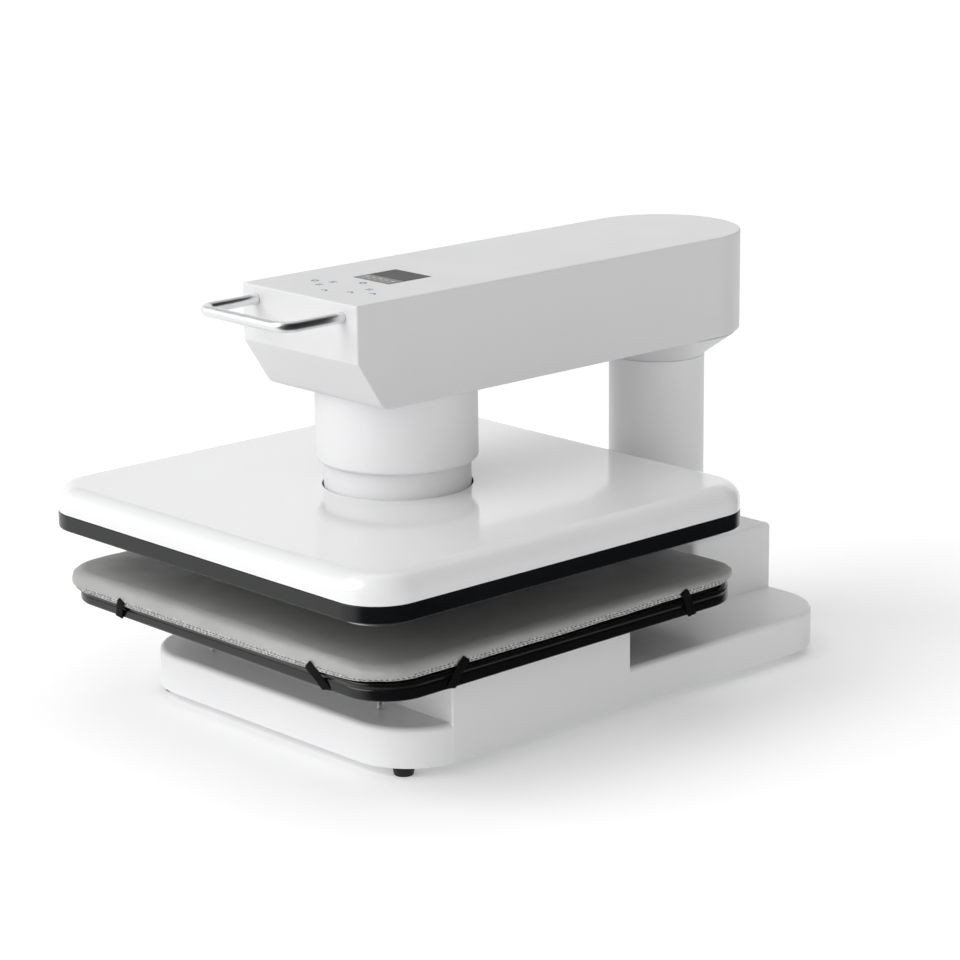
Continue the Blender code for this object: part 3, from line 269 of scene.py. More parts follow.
def satin_black():
    tones = (0.0035, 0.004, 0.005), (0.006, 0.0065, 0.008)
    finish = Finish("black_satin", tones, (0.20, 0.26), drift=14, grain=1800, bump=0.05, depth=0.06 * MM)
    finish.set(Specular_IOR_Level=0.45)


def tray_enamel():
    """Glossy black enamel over pressed steel."""
    tones = (0.003, 0.003, 0.0035), (0.005, 0.005, 0.006)
    finish = Finish("black_steel", tones, (0.17, 0.24), drift=18, grain=1400, bump=0.04, depth=0.04 * MM)
    finish.set(Specular_IOR_Level=0.5)


def coated_cloth(name, dark, light, drift):
    """Silver-grey coated cloth: a fine plain weave under a thin coating, with mottled wear."""
    finish = Finish(name, (dark, light), (0.46, 0.62), drift=drift, grain=2400, bump=0.2, depth=0.05 * MM)
    across = finish.wave(620, "X", distortion=0.4)
    along = finish.wave(620, "Y", distortion=0.4)
    weave = finish.add("Math", {0: across, 1: along}, operation="MULTIPLY").outputs[0]
    finish.raise_by(weave, 0.35, 0.06 * MM)
    finish.raise_by(finish.noise(75, 4), 0.30, 0.35 * MM)
    finish.set(Sheen_Weight=0.08, Sheen_Roughness=0.4, Specular_IOR_Level=0.45)


def stitch_thread():
    tones = (0.05, 0.05, 0.052), (0.11, 0.11, 0.113)
    finish = Finish("stitch_thread", tones, (0.6, 0.8), drift=900, grain=3000)
    finish.raise_by(finish.wave(1400, "DIAGONAL"), 0.5, 0.08 * MM)


def ribbed_elastic():
    """Woven elastic: fine ribs along the band and a looser cross weave."""
    finish = Finish("black_elastic", ((0.004, 0.004, 0.0045), (0.009, 0.009, 0.0095)), (0.75, 0.9), drift=60)
    finish.raise_by(finish.wave(420, "DIAGONAL", distortion=0.6), 0.6, 0.15 * MM)
    finish.raise_by(finish.noise(1600), 0.5, 0.08 * MM)
    finish.set(Specular_IOR_Level=0.12)


def moulded_rubber():
    finish = Finish("rubber", ((0.006, 0.006, 0.007), (0.013, 0.013, 0.014)), (0.55, 0.7), drift=60)
    finish.raise_by(finish.noise(700, 4), 0.35, 0.12 * MM)
    finish.set(Specular_IOR_Level=0.3)


def brushed_metal(name, low, high, roughness, stretch):
    """Metal with drawn lines along one axis."""
    finish = Finish(name, (low, high), roughness, 1.0, drift=30, grain=2000, bump=0.05, depth=0.03 * MM)
    finish.raise_by(finish.noise(220, 3, stretch), 0.12, 0.05 * MM)


def turned_bronze():
    finish = Finish("bronze", ((0.46, 0.30, 0.13), (0.58, 0.40, 0.19)), (0.32, 0.48), metallic=1.0, drift=40)
    finish.raise_by(finish.wave(900, "Z"), 0.2, 0.05 * MM)


def open_foam():
    finish = Finish("foam", ((0.018, 0.018, 0.019), (0.032, 0.032, 0.034)), (0.85, 0.95), drift=40)
    finish.raise_by(finish.noise(500, 5), 1.0, 0.6 * MM)


def mineral_board():
    finish = Finish("insulation", ((0.62, 0.60, 0.53), (0.74, 0.72, 0.66)), (0.88, 0.97), drift=45)
    finish.raise_by(finish.noise(260, 5, (1, 1, 6)), 0.8, 0.3 * MM)


def smoked_glass():
    tones = (0.007, 0.007, 0.008), (0.012, 0.012, 0.013)
    finish = Finish("black_glass", tones, (0.14, 0.2), drift=40, bump=0.01)
    finish.set(Specular_IOR_Level=0.02)


def circuit_board():
    finish = Finish("board_green", ((0.012, 0.13, 0.055), (0.02, 0.19, 0.085)), (0.3, 0.5), drift=120)
    finish.raise_by(finish.wave(160, "X"), 0.3, 0.05 * MM)


def moulded_plastic():
    finish = Finish("black_plastic", ((0.014, 0.014, 0.015), (0.024, 0.024, 0.025)), (0.38, 0.52), drift=60)
    finish.raise_by(finish.noise(1300), 0.35, 0.06 * MM)


def ink(name, tone):
    """Screen-printed ink, slightly uneven."""
    darker = tuple(part * 0.86 for part in tone)
    Finish(name, (darker, tone), (0.45, 0.6), drift=900, grain=2600, bump=0.1, depth=0.02 * MM)


def make_finishes():
    powder_coat("white_paint", 0.72)
    # The same white paint made lighter: painted fill light for the base, column, cylinder and sleeve, which sit
    # in the arm's shade.
    powder_coat("white_paint_painted_fill_light", 0.81)
    gloss_lacquer()
    satin_black()
    tray_enamel()
    coated_cloth("grey_fabric", (0.36, 0.36, 0.355), (0.41, 0.41, 0.405), 26)
    coated_cloth("hem_fabric", (0.22, 0.22, 0.218), (0.60, 0.60, 0.595), 420)
    stitch_thread()
    open_foam()
    ribbed_elastic()
    moulded_rubber()
    brushed_metal("aluminium", (0.84, 0.845, 0.85), (0.90, 0.905, 0.91), (0.30, 0.38), (1, 9, 1))
    brushed_metal("steel", (0.46, 0.465, 0.47), (0.56, 0.565, 0.57), (0.30, 0.42), (9, 1, 1))
    brushed_metal("polished_steel", (0.78, 0.78, 0.77), (0.86, 0.86, 0.85), (0.30, 0.38), (1, 1, 9))
    brushed_metal("bare_edge", (0.60, 0.60, 0.59), (0.70, 0.70, 0.69), (0.45, 0.6), (1, 1, 9))
    turned_bronze()
    mineral_board()
    smoked_glass()
    circuit_board()
    moulded_plastic()
    ink("touch_ink", (0.13, 0.16, 0.26))
    ink("label_ink", (0.62, 0.62, 0.60))
    ink("label_band", (0.27, 0.265, 0.26))


# ------------ mesh tools

def smooth(mesh, angle=32):
    mesh.shade_smooth()
    mesh.set_sharp_from_angle(angle=radians(angle))


def place(name, bm, finish, body, slot, *nodes, angle=32):
    """Makes a piece from a bmesh, puts it on its body and hides the CAD nodes it stands for."""
    bmesh.ops.recalc_face_normals(bm, faces=bm.faces)
    mesh = bpy.data.meshes.new(name)
    bm.to_mesh(mesh)
    bm.free()
    smooth(mesh, angle)
    item = bpy.data.objects.new(name, mesh)
    SCENE.collection.objects.link(item)
    mesh.materials.append(FINISHES[finish])
    if body:
        settle(item, body, slot, *nodes)
    return item


def settle(item, body, slot, *nodes):
    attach(item, body)
    if nodes:
        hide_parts(*nodes)


def apply_modifiers(item, angle=32):
    """The evaluated mesh becomes the piece's own mesh."""
    bpy.context.view_layer.update()
    evaluated = item.evaluated_get(bpy.context.evaluated_depsgraph_get())
    mesh = bpy.data.meshes.new_from_object(evaluated)
    item.modifiers.clear()
    item.data = mesh
    smooth(mesh, angle)
    return item


def combine(item, other, operation="DIFFERENCE"):
    """A Boolean with another mesh object, which is used up."""
    modifier = item.modifiers.new("combine", "BOOLEAN")
    modifier.operation = operation
    modifier.solver = "EXACT"
    modifier.object = other
    apply_modifiers(item)
    bpy.data.objects.remove(other, do_unlink=True)
    return item


def round_edges(item, width):
    modifier = item.modifiers.new("edges", "BEVEL")
    modifier.width = width
    modifier.segments = 4
    modifier.limit_method = "ANGLE"
    modifier.angle_limit = radians(34)
    modifier.miter_outer = "MITER_ARC"
    return apply_modifiers(item)


def even_shading(item):
    modifier = item.modifiers.new("shading", "WEIGHTED_NORMAL")
    modifier.keep_sharp = True
    modifier.weight = 80


def skin(rings, looped=False, into=None):
    """Faces between neighbouring closed rings of points, in a new bmesh or in one that is given."""
    bm = bmesh.new() if into is None else into
    rows = [[bm.verts.new(point) for point in ring] for ring in rings]
    pairs = list(zip(rows, rows[1:]))
    if looped:
        pairs.append((rows[-1], rows[0]))
    for low, high in pairs:
        for index in range(len(low)):
            after = (index + 1) % len(low)
            bm.faces.new((low[index], low[after], high[after], high[index]))
    if not looped:
        bm.faces.new(rows[0])
        bm.faces.new(rows[-1])
    return bm


def rounded_outline(half_x, half_y, corner, steps):
    """The points of a rectangle with round corners, about its centre."""
    points = []
    for quarter, (side_x, side_y) in enumerate(((1, 1), (-1, 1), (-1, -1), (1, -1))):
        for step in range(steps + 1):
            turn = pi / 2 * (quarter + step / steps)
            points.append((
                side_x * (half_x - corner) + corner * cos(turn),
                side_y * (half_y - corner) + corner * sin(turn),
            ))
    return points


def plan_ring(half_x, half_y, corner, centre, inset, z, steps):
    """A rounded rectangle shrunk by inset, at height z."""
    radius = max(corner - inset, 0.15 * MM)
    outline = rounded_outline(half_x - inset, half_y - inset, radius, steps)
    return [Vector((centre.x + x, centre.y + y, z)) for x, y in outline]


def circle_ring(radius, centre, z, count):
    """A circle with as many points as the ring it joins, its first point on +X."""
    turns = [2 * pi * index / count for index in range(count)]
    return [Vector((centre.x + radius * cos(turn), centre.y + radius * sin(turn), z)) for turn in turns]


def arc(centre_r, centre_z, radius, start, end, steps):
    """Points of an arc in a profile, as (distance, height), with angles in degrees."""
    turns = [radians(start + (end - start) * step / steps) for step in range(steps + 1)]
    return [(centre_r + radius * cos(turn), centre_z + radius * sin(turn)) for turn in turns]


def edge_arc(inset, z, radius, start, end, steps):
    """An arc in a profile of (inset, height), its centre at that inset from the outline."""
    return [(inset - r, height) for r, height in arc(0, z, radius, start, end, steps)]


def plan_rings(profile, half, corner, centre, steps):
    """Rounded rectangles stacked by a profile of (inset, height)."""
    return [plan_ring(half.x, half.y, corner, centre, inset, z, steps) for inset, z in profile]


def turned(profile, centre, steps, looped=True):
    """A ring or a solid turned about a vertical axis from a profile of (radius, z)."""
    rings = [circle_ring(max(radius, 0.02 * MM), centre, z, steps) for radius, z in profile]
    return skin(rings, looped=looped)


def box_mesh(low, high):
    bm = bmesh.new()
    bmesh.ops.create_cube(bm, size=1.0)
    low, high = Vector(low), Vector(high)
    bmesh.ops.scale(bm, vec=high - low, verts=bm.verts)
    bmesh.ops.translate(bm, vec=(low + high) / 2, verts=bm.verts)
    return bm


def cutter(bm):
    """A shape for combine(), with no body of its own."""
    return place("cutter", bm, "white_paint", None, None)


def drill(item, radius, centre, low, high, steps=64):
    rings = [circle_ring(radius, centre, low, steps), circle_ring(radius, centre, high, steps)]
    return combine(item, cutter(skin(rings)))


def prism(points, axis, low, high):
    """A flat outline of (a, b) points pushed along an axis."""
    make = {
        "X": lambda a, b, c: (c, a, b),
        "Y": lambda a, b, c: (a, c, b),
        "Z": lambda a, b, c: (a, b, c),
    }[axis]
    return skin([[Vector(make(a, b, level)) for a, b in points] for level in (low, high)])


def rounded_polygon(corners):
    """An outline from (a, b, radius, steps) corners, each rounded by its own radius."""
    points = []
    count = len(corners)
    for index, (a, b, radius, steps) in enumerate(corners):
        here = Vector((a, b))
        before = (Vector(corners[index - 1][:2]) - here).normalized()
        after = (Vector(corners[(index + 1) % count][:2]) - here).normalized()
        if radius <= 0:
            points.append((a, b))
            continue
        half_angle = before.angle(after) / 2
        bisector = (before + after).normalized()
        centre = here + bisector * (radius / sin(half_angle))
        reach = radius * cos(half_angle) / sin(half_angle)
        start = here + before * reach - centre
        end = here + after * reach - centre
        swing = start.angle_signed(end)
        for step in range(steps + 1):
            turn = -swing * step / steps
            points.append((
                centre.x + start.x * cos(turn) - start.y * sin(turn),
                centre.y + start.x * sin(turn) + start.y * cos(turn),
            ))
    return points


# ------------ base

def make_base():
    """The moulded base: a slab with a soft top edge, the block under the table and a rear pedestal."""
    low, high, centre, half = measures("base_shell")
    corner, fillet, foot_edge, wall = 53 * MM, 4.5 * MM, 1.2 * MM, 3.5 * MM
    slab_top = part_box("front_left_stud")[0].z - 0.3 * MM
    profile = [(wall * 1.6, low.z), (foot_edge, low.z)]
    profile += edge_arc(foot_edge, low.z + foot_edge, foot_edge, -90, 0, 4)
    profile += edge_arc(fillet, slab_top - fillet, fillet, 0, 90, 8)
    slab = skin(plan_rings(profile, half, corner, centre, 20))
    # The lighter white paint here is painted fill light, not a different paint.
    base = place("base_casing", slab, "white_paint_painted_fill_light", None, None)

    block_half = 93.7 * MM
    block_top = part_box("tray")[0].z - 0.5 * MM
    edge = 1.6 * MM
    proud = 0.02 * MM
    profile = [(0, low.z + 4 * MM), (0, block_top - edge * 0.6), (edge * 0.18, block_top - edge * 0.18)]
    profile += [(edge * 0.6, block_top)]
    block = plan_rings(profile, Vector((half.x + proud, block_half)), edge, PRESS, 5)
    combine(base, cutter(skin(block)), "UNION")

    pedestal_half, pedestal_top, pedestal_edge = 90 * MM, high.z, 3.4 * MM
    pedestal_front, pedestal_rear = POST.y - 47 * MM, high.y - 0.2 * MM
    pedestal_centre = Vector((0, (pedestal_front + pedestal_rear) / 2, 0))
    pedestal_size = Vector((pedestal_half, (pedestal_rear - pedestal_front) / 2))
    profile = [(0, slab_top - 9 * MM)]
    profile += edge_arc(pedestal_edge, pedestal_top - pedestal_edge, pedestal_edge, 0, 90, 6)
    pedestal = plan_rings(profile, pedestal_size, 4.6 * MM, pedestal_centre, 6)
    combine(base, cutter(skin(pedestal)), "UNION")

    profile = [(wall, low.z - 5 * MM), (wall, slab_top - wall - 1 * MM), (wall + 1 * MM, slab_top - wall)]
    combine(base, cutter(skin(plan_rings(profile, half, corner, centre, 12))))
    in_x, floor_z, spare = half.x - wall - 1 * MM, low.z + 6 * MM, 0.3 * MM
    hollows = [
        (
            (-in_x, PRESS.y - block_half + wall, floor_z),
            (in_x, PRESS.y + block_half - wall, block_top - wall),
        ),
        (
            (-pedestal_half + wall, pedestal_front + wall, floor_z),
            (pedestal_half - wall, pedestal_rear - wall, pedestal_top - wall),
        ),
    ]
    for node, rim in (("power_inlet", 2.0 * MM), ("switch_housing", 1.1 * MM)):
        start, end, _, _ = measures(node)
        hollows.append((
            (start.x + rim - spare, pedestal_rear - 12 * MM, start.z + rim - spare),
            (end.x - rim + spare, pedestal_rear + 8 * MM, end.z - rim + spare),
        ))
    for start, end in hollows:
        combine(base, cutter(box_mesh(start, end)))
    drill(base, half_size("column").x + spare, POST, pedestal_top - 12 * MM, pedestal_top + 5 * MM, 96)
    settle(base, "base", "white_paint", "base_shell")
    even_shading(base)


def make_feet():
    """Tapered rubber feet with a shallow lip where they meet the base."""
    for corner in CORNERS:
        low, high, centre, half = measures(f"{corner}_foot")
        top_r, bottom_r, soft = half.x, half.x - 1.2 * MM, 1.1 * MM
        profile = [(top_r, high.z), (top_r, high.z - 1.2 * MM), (top_r - 0.35 * MM, high.z - 1.6 * MM)]
        profile += arc(bottom_r - soft, low.z + soft, soft, 0, -90, 5)
        profile += [(4.6 * MM, low.z), (4.6 * MM, 4 * MM), (2.6 * MM, 4 * MM), (2.6 * MM, high.z)]
        foot = turned(profile, centre, 48)
        even_shading(place(f"{corner}_rubber_foot", foot, "rubber", "base", "rubber", f"{corner}_foot"))


POST_BORE = 14.3 * MM  # clear of the king post


def make_column():
    low, high, _, half = measures("column")
    radius, wall, cap, edge = half.x, 4 * MM, 8 * MM, 0.3 * MM
    washer_r = half_size("thrust_washer").x + 0.5 * MM
    rim = high.z + 0.5 * MM
    profile = [(POST_BORE, high.z), (washer_r, high.z), (washer_r, rim)]
    profile += arc(radius - edge, rim - edge, edge, 90, 0, 5)
    profile += [(radius, low.z), (radius - wall, low.z)]
    profile += [(radius - wall, high.z - cap), (POST_BORE, high.z - cap)]
    tube = turned(profile, POST, 120)
    # The lighter white paint here is painted fill light, not a different paint.
    even_shading(place("column_tube", tube, "white_paint_painted_fill_light", "base", "white_paint", "column"))


def make_studs():
    """Bright threaded studs that carry the tray."""
    for corner in CORNERS:
        low, high, centre, half = measures(f"{corner}_stud")
        radius, pitch, depth = half.x, 1.0 * MM, 0.35 * MM
        profile = [(radius, low.z), (radius, low.z + 3 * MM)]
        z = low.z + 3.4 * MM
        while z < high.z - 9 * MM:
            profile += [(radius, z), (radius - depth, z + pitch / 2)]
            z += pitch
        profile += [(radius, z), (radius, high.z)]
        stud = place(
            f"{corner}_threaded_stud", turned(profile, centre, 32, looped=False), "polished_steel", "base",
            "steel", f"{corner}_stud", angle=25,
        )
        even_shading(stud)


# ------------ table

TRAY = middle("tray")
TRAY_HALF = half_size("tray")
TRAY_CORNER = 39 * MM
TRAY_LOW, TRAY_HIGH = (corner.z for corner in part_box("tray"))


def clamped(share):
    return max(0.0, min(1.0, share))


def corner_share(point, centre, half, reach):
    """1 at the outline's front right corner and 0 away from it, with a soft change between."""
    away = max(half.x - (point.x - centre.x), half.y + (point.y - centre.y))
    share = clamped((reach - away) / (0.35 * reach))
    return share * share * (3 - 2 * share)


def make_tray():
    """A pressed tray: a bead on top, a groove under it and a flat skirt, deeper at the near right corner."""
    low, high = TRAY_LOW, TRAY_HIGH
    bead = 2.4 * MM
    profile = [(6.2 * MM, high - 3.2 * MM), (5.0 * MM, high - 2.2 * MM)]
    profile += edge_arc(bead, high - bead, bead, 115, -40, 12)
    profile += [
        (0.95 * MM, high - 5.0 * MM), (1.0 * MM, high - 5.5 * MM), (0.75 * MM, high - 5.9 * MM),
        (0.35 * MM, high - 6.3 * MM), (0.25 * MM, high - 7.0 * MM),
    ]
    profile += edge_arc(2.0 * MM + 0.25 * MM, low + 2.0 * MM, 2.0 * MM, 0, -90, 7)
    floor_top = low + 2.5 * MM
    rings = plan_rings(profile, TRAY_HALF, TRAY_CORNER, TRAY, 20)
    bottom = plan_ring(TRAY_HALF.x, TRAY_HALF.y, TRAY_CORNER, TRAY, 20 * MM, low, 20)
    well = plan_ring(TRAY_HALF.x, TRAY_HALF.y, TRAY_CORNER, TRAY, 6.2 * MM, floor_top, 20)
    bm = skin(rings + [bottom])
    top_face = next(f for f in bm.faces if len(f.verts) > 8 and all(v.co.z > high - 4 * MM for v in f.verts))
    bmesh.ops.delete(bm, geom=[top_face], context="FACES_ONLY")
    rim = sorted((e for e in bm.edges if e.is_boundary), key=lambda e: e.index)
    made = bmesh.ops.extrude_edge_only(bm, edges=rim)
    verts = [g for g in made["geom"] if isinstance(g, bmesh.types.BMVert)]
    for vert in verts:
        vert.co.z = well[0].z
    bmesh.ops.contextual_create(bm, geom=[e for e in bm.edges if e.is_boundary])
    skirt = 1.7 * MM
    for vert in bm.verts:
        inside = min(TRAY_HALF.x - abs(vert.co.x - TRAY.x), TRAY_HALF.y - abs(vert.co.y - TRAY.y))
        if vert.co.z < low + 2.2 * MM and inside < 16 * MM:
            vert.co.z -= skirt * corner_share(vert.co, TRAY, TRAY_HALF, 62 * MM)
    even_shading(place("table_tray", bm, "black_steel", "base", "black_steel", "tray"))


PAD_LOW, PAD_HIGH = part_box("pad_cover")
PAD = middle("pad_cover")
PAD_HALF = half_size("pad_cover")
PAD_CORNER = 35 * MM
SEAM_Z = PAD_LOW.z + 5.0 * MM  # where the hem is sewn to the top cloth
PAD_SHIFT = Vector((-1.2, -1.3, 0)) * MM  # the cover sits a little off the tray's middle


def sag(x, y):
    """How far the cover's edge hangs below its own height: most in the middle of its front side."""
    u, v = (x - PAD.x) / PAD_HALF.x, (y - PAD.y) / PAD_HALF.y
    front, left = clamped((-v - 0.2) / 0.7) ** 2, clamped((-u - 0.2) / 0.7) ** 2
    rear_right = clamped((u + v - 0.9) / 0.9)
    middle_share = max(0.0, 1 - abs((u + 0.12) / 1.05) ** 3)
    return (4.2 * front * middle_share + 2.6 * left * (1 - 0.5 * front) - 2.2 * rear_right) * MM


def ripple(point, scale, amount, seed):
    return noise.noise(Vector((point.x * scale + seed, point.y * scale - seed, point.z * scale))) * amount


def swell(item, frames=20, pressure=4.0, cap=2.4 * MM):
    """Inflates a closed form like a stuffed cover, and keeps each point within cap of where it began."""
    remesh = item.modifiers.new("even", "REMESH")
    remesh.mode = "VOXEL"
    remesh.voxel_size = 4.5 * MM
    apply_modifiers(item)
    count = len(item.data.vertices)
    before = np.empty(count * 3, np.float32)
    item.data.vertices.foreach_get("co", before)
    cloth = item.modifiers.new("swell", "CLOTH")
    cloth.settings.use_pressure = True
    cloth.settings.uniform_pressure_force = pressure
    cloth.settings.effector_weights.gravity = 0
    cloth.settings.quality = 5
    cloth.settings.tension_stiffness = 22
    cloth.settings.compression_stiffness = 22
    cloth.settings.bending_stiffness = 1.2
    cloth.collision_settings.use_collision = False
    cloth.point_cache.frame_start = 1
    cloth.point_cache.frame_end = frames
    for step in range(1, frames + 1):
        SCENE.frame_set(step)
    apply_modifiers(item)
    SCENE.frame_set(1)
    after = np.empty(count * 3, np.float32)
    item.data.vertices.foreach_get("co", after)
    moved = (after - before).reshape(-1, 3)
    length = np.linalg.norm(moved, axis=1, keepdims=True)
    moved *= np.minimum(1.0, cap / np.maximum(length, 1e-9))
    item.data.vertices.foreach_set("co", (before.reshape(-1, 3) + moved).ravel())
    item.data.update()


def pad_form():
    """The pad before it swells: a low closed cushion with a full round edge."""
    start = 0.9 * MM
    top = PAD_HIGH.z - 1.3 * MM
    bottom = PAD_LOW.z - 3.0 * MM
    edge = 4.6 * MM
    profile = [(start + 2.2 * MM, bottom), (start + 0.9 * MM, SEAM_Z - 1.5 * MM)]
    profile += [(start + 0.2 * MM, SEAM_Z + 0.3 * MM)]
    profile += edge_arc(start + edge, top - edge, edge, 0, 90, 6)
    profile += [(start + 16 * MM, top + 0.2 * MM), (start + 60 * MM, top + 0.5 * MM)]
    return skin(plan_rings(profile, PAD_HALF, PAD_CORNER, PAD, 12))


def make_pad():
    """The padded cover, swollen by a cloth simulation, cut open underneath and given a thickness."""
    pad = place("pad_cloth", pad_form(), "grey_fabric", None, None)
    swell(pad)
    finer = pad.modifiers.new("finer", "SUBSURF")
    finer.levels = finer.render_levels = 1
    relax = pad.modifiers.new("relax", "SMOOTH")
    relax.iterations = 3
    relax.factor = 0.5
    apply_modifiers(pad, 60)
    bm = bmesh.new()
    bm.from_mesh(pad.data)
    bmesh.ops.bisect_plane(
        bm, geom=bm.verts[:] + bm.edges[:] + bm.faces[:], plane_co=(0, 0, SEAM_Z - 1.6 * MM),
        plane_no=(0, 0, -1), clear_outer=True,
    )
    outer_x, outer_y = PAD_HALF.x - 0.2 * MM, PAD_HALF.y - 0.2 * MM
    wide_x, wide_y = (max(abs(v.co[axis] - PAD[axis]) for v in bm.verts) for axis in (0, 1))
    for vert in bm.verts:
        vert.co.x = PAD.x + (vert.co.x - PAD.x) * outer_x / wide_x
        vert.co.y = PAD.y + (vert.co.y - PAD.y) * outer_y / wide_y
        edge = min(PAD_HALF.x - abs(vert.co.x - PAD.x), PAD_HALF.y - abs(vert.co.y - PAD.y))
        near_edge = exp(-max(edge, 0) / (9 * MM))
        low = clamped((PAD_HIGH.z - 2 * MM - vert.co.z) / (6 * MM))
        pucker = ripple(vert.co, 150, 0.34 * MM, 3.1) * low * near_edge
        dent = ripple(vert.co, 22, 0.30 * MM, 1.7) + ripple(vert.co, 60, 0.16 * MM, 5.2) * (0.4 + near_edge)
        outward = Vector(((vert.co.x - PAD.x) / outer_x, (vert.co.y - PAD.y) / outer_y, 0))
        vert.co += outward.normalized() * pucker
        vert.co.z += dent * (1 - low)
        vert.co.z = min(vert.co.z, PAD_HIGH.z - 0.1 * MM + 0.25 * min(0, vert.co.z - PAD_HIGH.z))
        vert.co.x = min(max(vert.co.x, PAD.x - outer_x), PAD.x + outer_x)
        vert.co.y = min(max(vert.co.y, PAD.y - outer_y), PAD.y + outer_y)
        depth = clamped((PAD_HIGH.z - 0.5 * MM - vert.co.z) / (PAD_HIGH.z - SEAM_Z))
        vert.co.z -= sag(vert.co.x, vert.co.y) * depth
        vert.co += PAD_SHIFT
    bm.to_mesh(pad.data)
    bm.free()
    sheet = pad.modifiers.new("cloth", "SOLIDIFY")
    sheet.thickness = 0.7 * MM
    sheet.offset = -1
    apply_modifiers(pad, 60)
    settle(pad, "base", "grey_fabric", "pad_cover")


def hem_point(turn, z, out=0.0):
    """A point on the hem's outer face: turn runs once round the pad from 0 to 1."""
    spot = (turn % 1.0) * len(HEM_OUTLINE)
    index = int(floor(spot))
    (here, here_out), (after, after_out) = (HEM_OUTLINE[i % len(HEM_OUTLINE)] for i in (index, index + 1))
    x, y, _ = here.lerp(after, spot - index)
    normal = here_out.lerp(after_out, spot - index).normalized()
    rounded = 1.0 - abs(abs(normal.x) - abs(normal.y))  # 1 at a corner's middle
    inset = 0.55 * MM + (SEAM_Z - z) * (0.10 + 0.55 * rounded)
    wave = noise.noise(Vector((x * 46, y * 46, 2.0))) * 0.45 * MM
    pucker = noise.noise(Vector((x * 210, y * 210, z * 120))) * 0.30 * MM
    point = Vector((PAD.x + x, PAD.y + y, z + wave * 0.8)) - normal * inset + PAD_SHIFT
    point.z -= sag(point.x, point.y)
    return point + normal * (out + pucker), normal


def even_outline(half_x, half_y, corner, spacing):
    """Points evenly spaced round a rounded rectangle, each with its outward normal."""
    dense = rounded_outline(half_x, half_y, corner, 40)
    lengths = [hypot(bx - ax, by - ay) for (ax, ay), (bx, by) in zip(dense, dense[1:] + dense[:1])]
    total = sum(lengths)
    count = int(total / spacing)
    points, walked, index = [], 0.0, 0
    for step in range(count):
        target = total * step / count
        while walked + lengths[index] < target:
            walked += lengths[index]
            index += 1
        here, after = (Vector((*dense[i % len(dense)], 0)) for i in (index, index + 1))
        edge = after - here
        share = (target - walked) / max(lengths[index], 1e-9)
        points.append((here + edge * share, Vector((edge.y, -edge.x, 0)).normalized()))
    return points


HEM_STEP = 2.2 * MM
HEM_OUTLINE = even_outline(PAD_HALF.x, PAD_HALF.y, PAD_CORNER, HEM_STEP)


STITCH_SLANT = 0.16  # radians


def make_hem():
    """The hem: a folded band under the swell of the pad, sewn with two rows of stitches."""
    count = len(HEM_OUTLINE)
    bottom = PAD_LOW.z + 0.5 * MM
    fold = 0.9 * MM
    profile = [  # (height, distance outward)
        (SEAM_Z + 0.9 * MM, -1.4 * MM), (SEAM_Z + 0.35 * MM, -0.35 * MM), (SEAM_Z, 0.05 * MM),
        (SEAM_Z - 0.8 * MM, 0.35 * MM), (SEAM_Z - 1.5 * MM, 0.1 * MM), (SEAM_Z - 2.3 * MM, 0.4 * MM),
        (SEAM_Z - 3.1 * MM, 0.15 * MM), (bottom + 0.8 * MM, 0.4 * MM), (bottom + 0.2 * MM, 0.2 * MM),
        (bottom, -fold * 0.5), (bottom + 0.3 * MM, -fold), (SEAM_Z, -1.7 * MM),
    ]
    rings = [[hem_point(i / count, z, out)[0] for i in range(count)] for z, out in profile]
    hem = place("pad_hem", skin(rings, looped=True), "hem_fabric", "base", "grey_fabric", angle=60)

    bm = bmesh.new()
    length, thick, proud, sunk = 2.6 * MM, 0.32 * MM, 0.26 * MM, 0.25 * MM
    sixths = [pi / 3 * step for step in range(6)]
    total = count * HEM_STEP
    for row, (z, pitch) in enumerate(((SEAM_Z - 1.3 * MM, 4.0 * MM), (SEAM_Z - 3.2 * MM, 4.3 * MM))):
        stitches = int(total / pitch)
        for index in range(stitches):
            along_hem = (index + 0.3 * row) / stitches
            middle_point, normal = hem_point(along_hem, z, proud)
            ahead, _ = hem_point(along_hem + 0.3 / stitches, z, proud)
            along = (ahead - middle_point).normalized()
            up = along.cross(normal)
            slant = along * cos(STITCH_SLANT) + up * sin(STITCH_SLANT)
            across = normal.cross(slant)
            rings = []
            for share, size, sink in ((-0.5, 0.45, sunk), (-0.32, 1.0, 0), (0.32, 1.0, 0), (0.5, 0.45, sunk)):
                here = middle_point + slant * (length * share) - normal * sink
                spokes = [across * cos(turn) + normal * sin(turn) for turn in sixths]
                rings.append([here + spoke * thick * size for spoke in spokes])
            skin(rings, into=bm)
    place("hem_stitches", bm, "stitch_thread", "base", "grey_fabric", angle=60)


def make_foam():
    """The silicone sponge pad that the cover is drawn over."""
    low, high, centre, half = measures("foam_pad")
    edge, crown, top = 1.5 * MM, 9 * MM, high.z - 2.0 * MM
    profile = [(edge, low.z)] + edge_arc(edge, low.z + edge, edge, -90, 0, 4)
    profile += edge_arc(crown, top - crown, crown, 0, 90, 7)
    rings = plan_rings(profile, half - Vector((2.6, 2.6, 0)) * MM, 34 * MM, centre, 12)
    foam = place("sponge_pad", skin(rings), "foam", "base", "foam", "foam_pad")
    even_shading(foam)


def ribbon(stations, width, thick):
    """A flat band through stations of (point, direction across, direction out)."""
    sections = []
    for point, across, out in stations:
        across, out = across.normalized(), out.normalized()
        w, t = across * width / 2, out * thick / 2
        soft = 0.82
        sections.append([
            point + w * soft + t, point + w + t * 0.3, point + w - t * 0.3, point + w * soft - t,
            point - w * soft - t, point - w - t * 0.3, point - w + t * 0.3, point - w * soft + t,
            point + t * 1.15,
        ])
    return skin(sections)


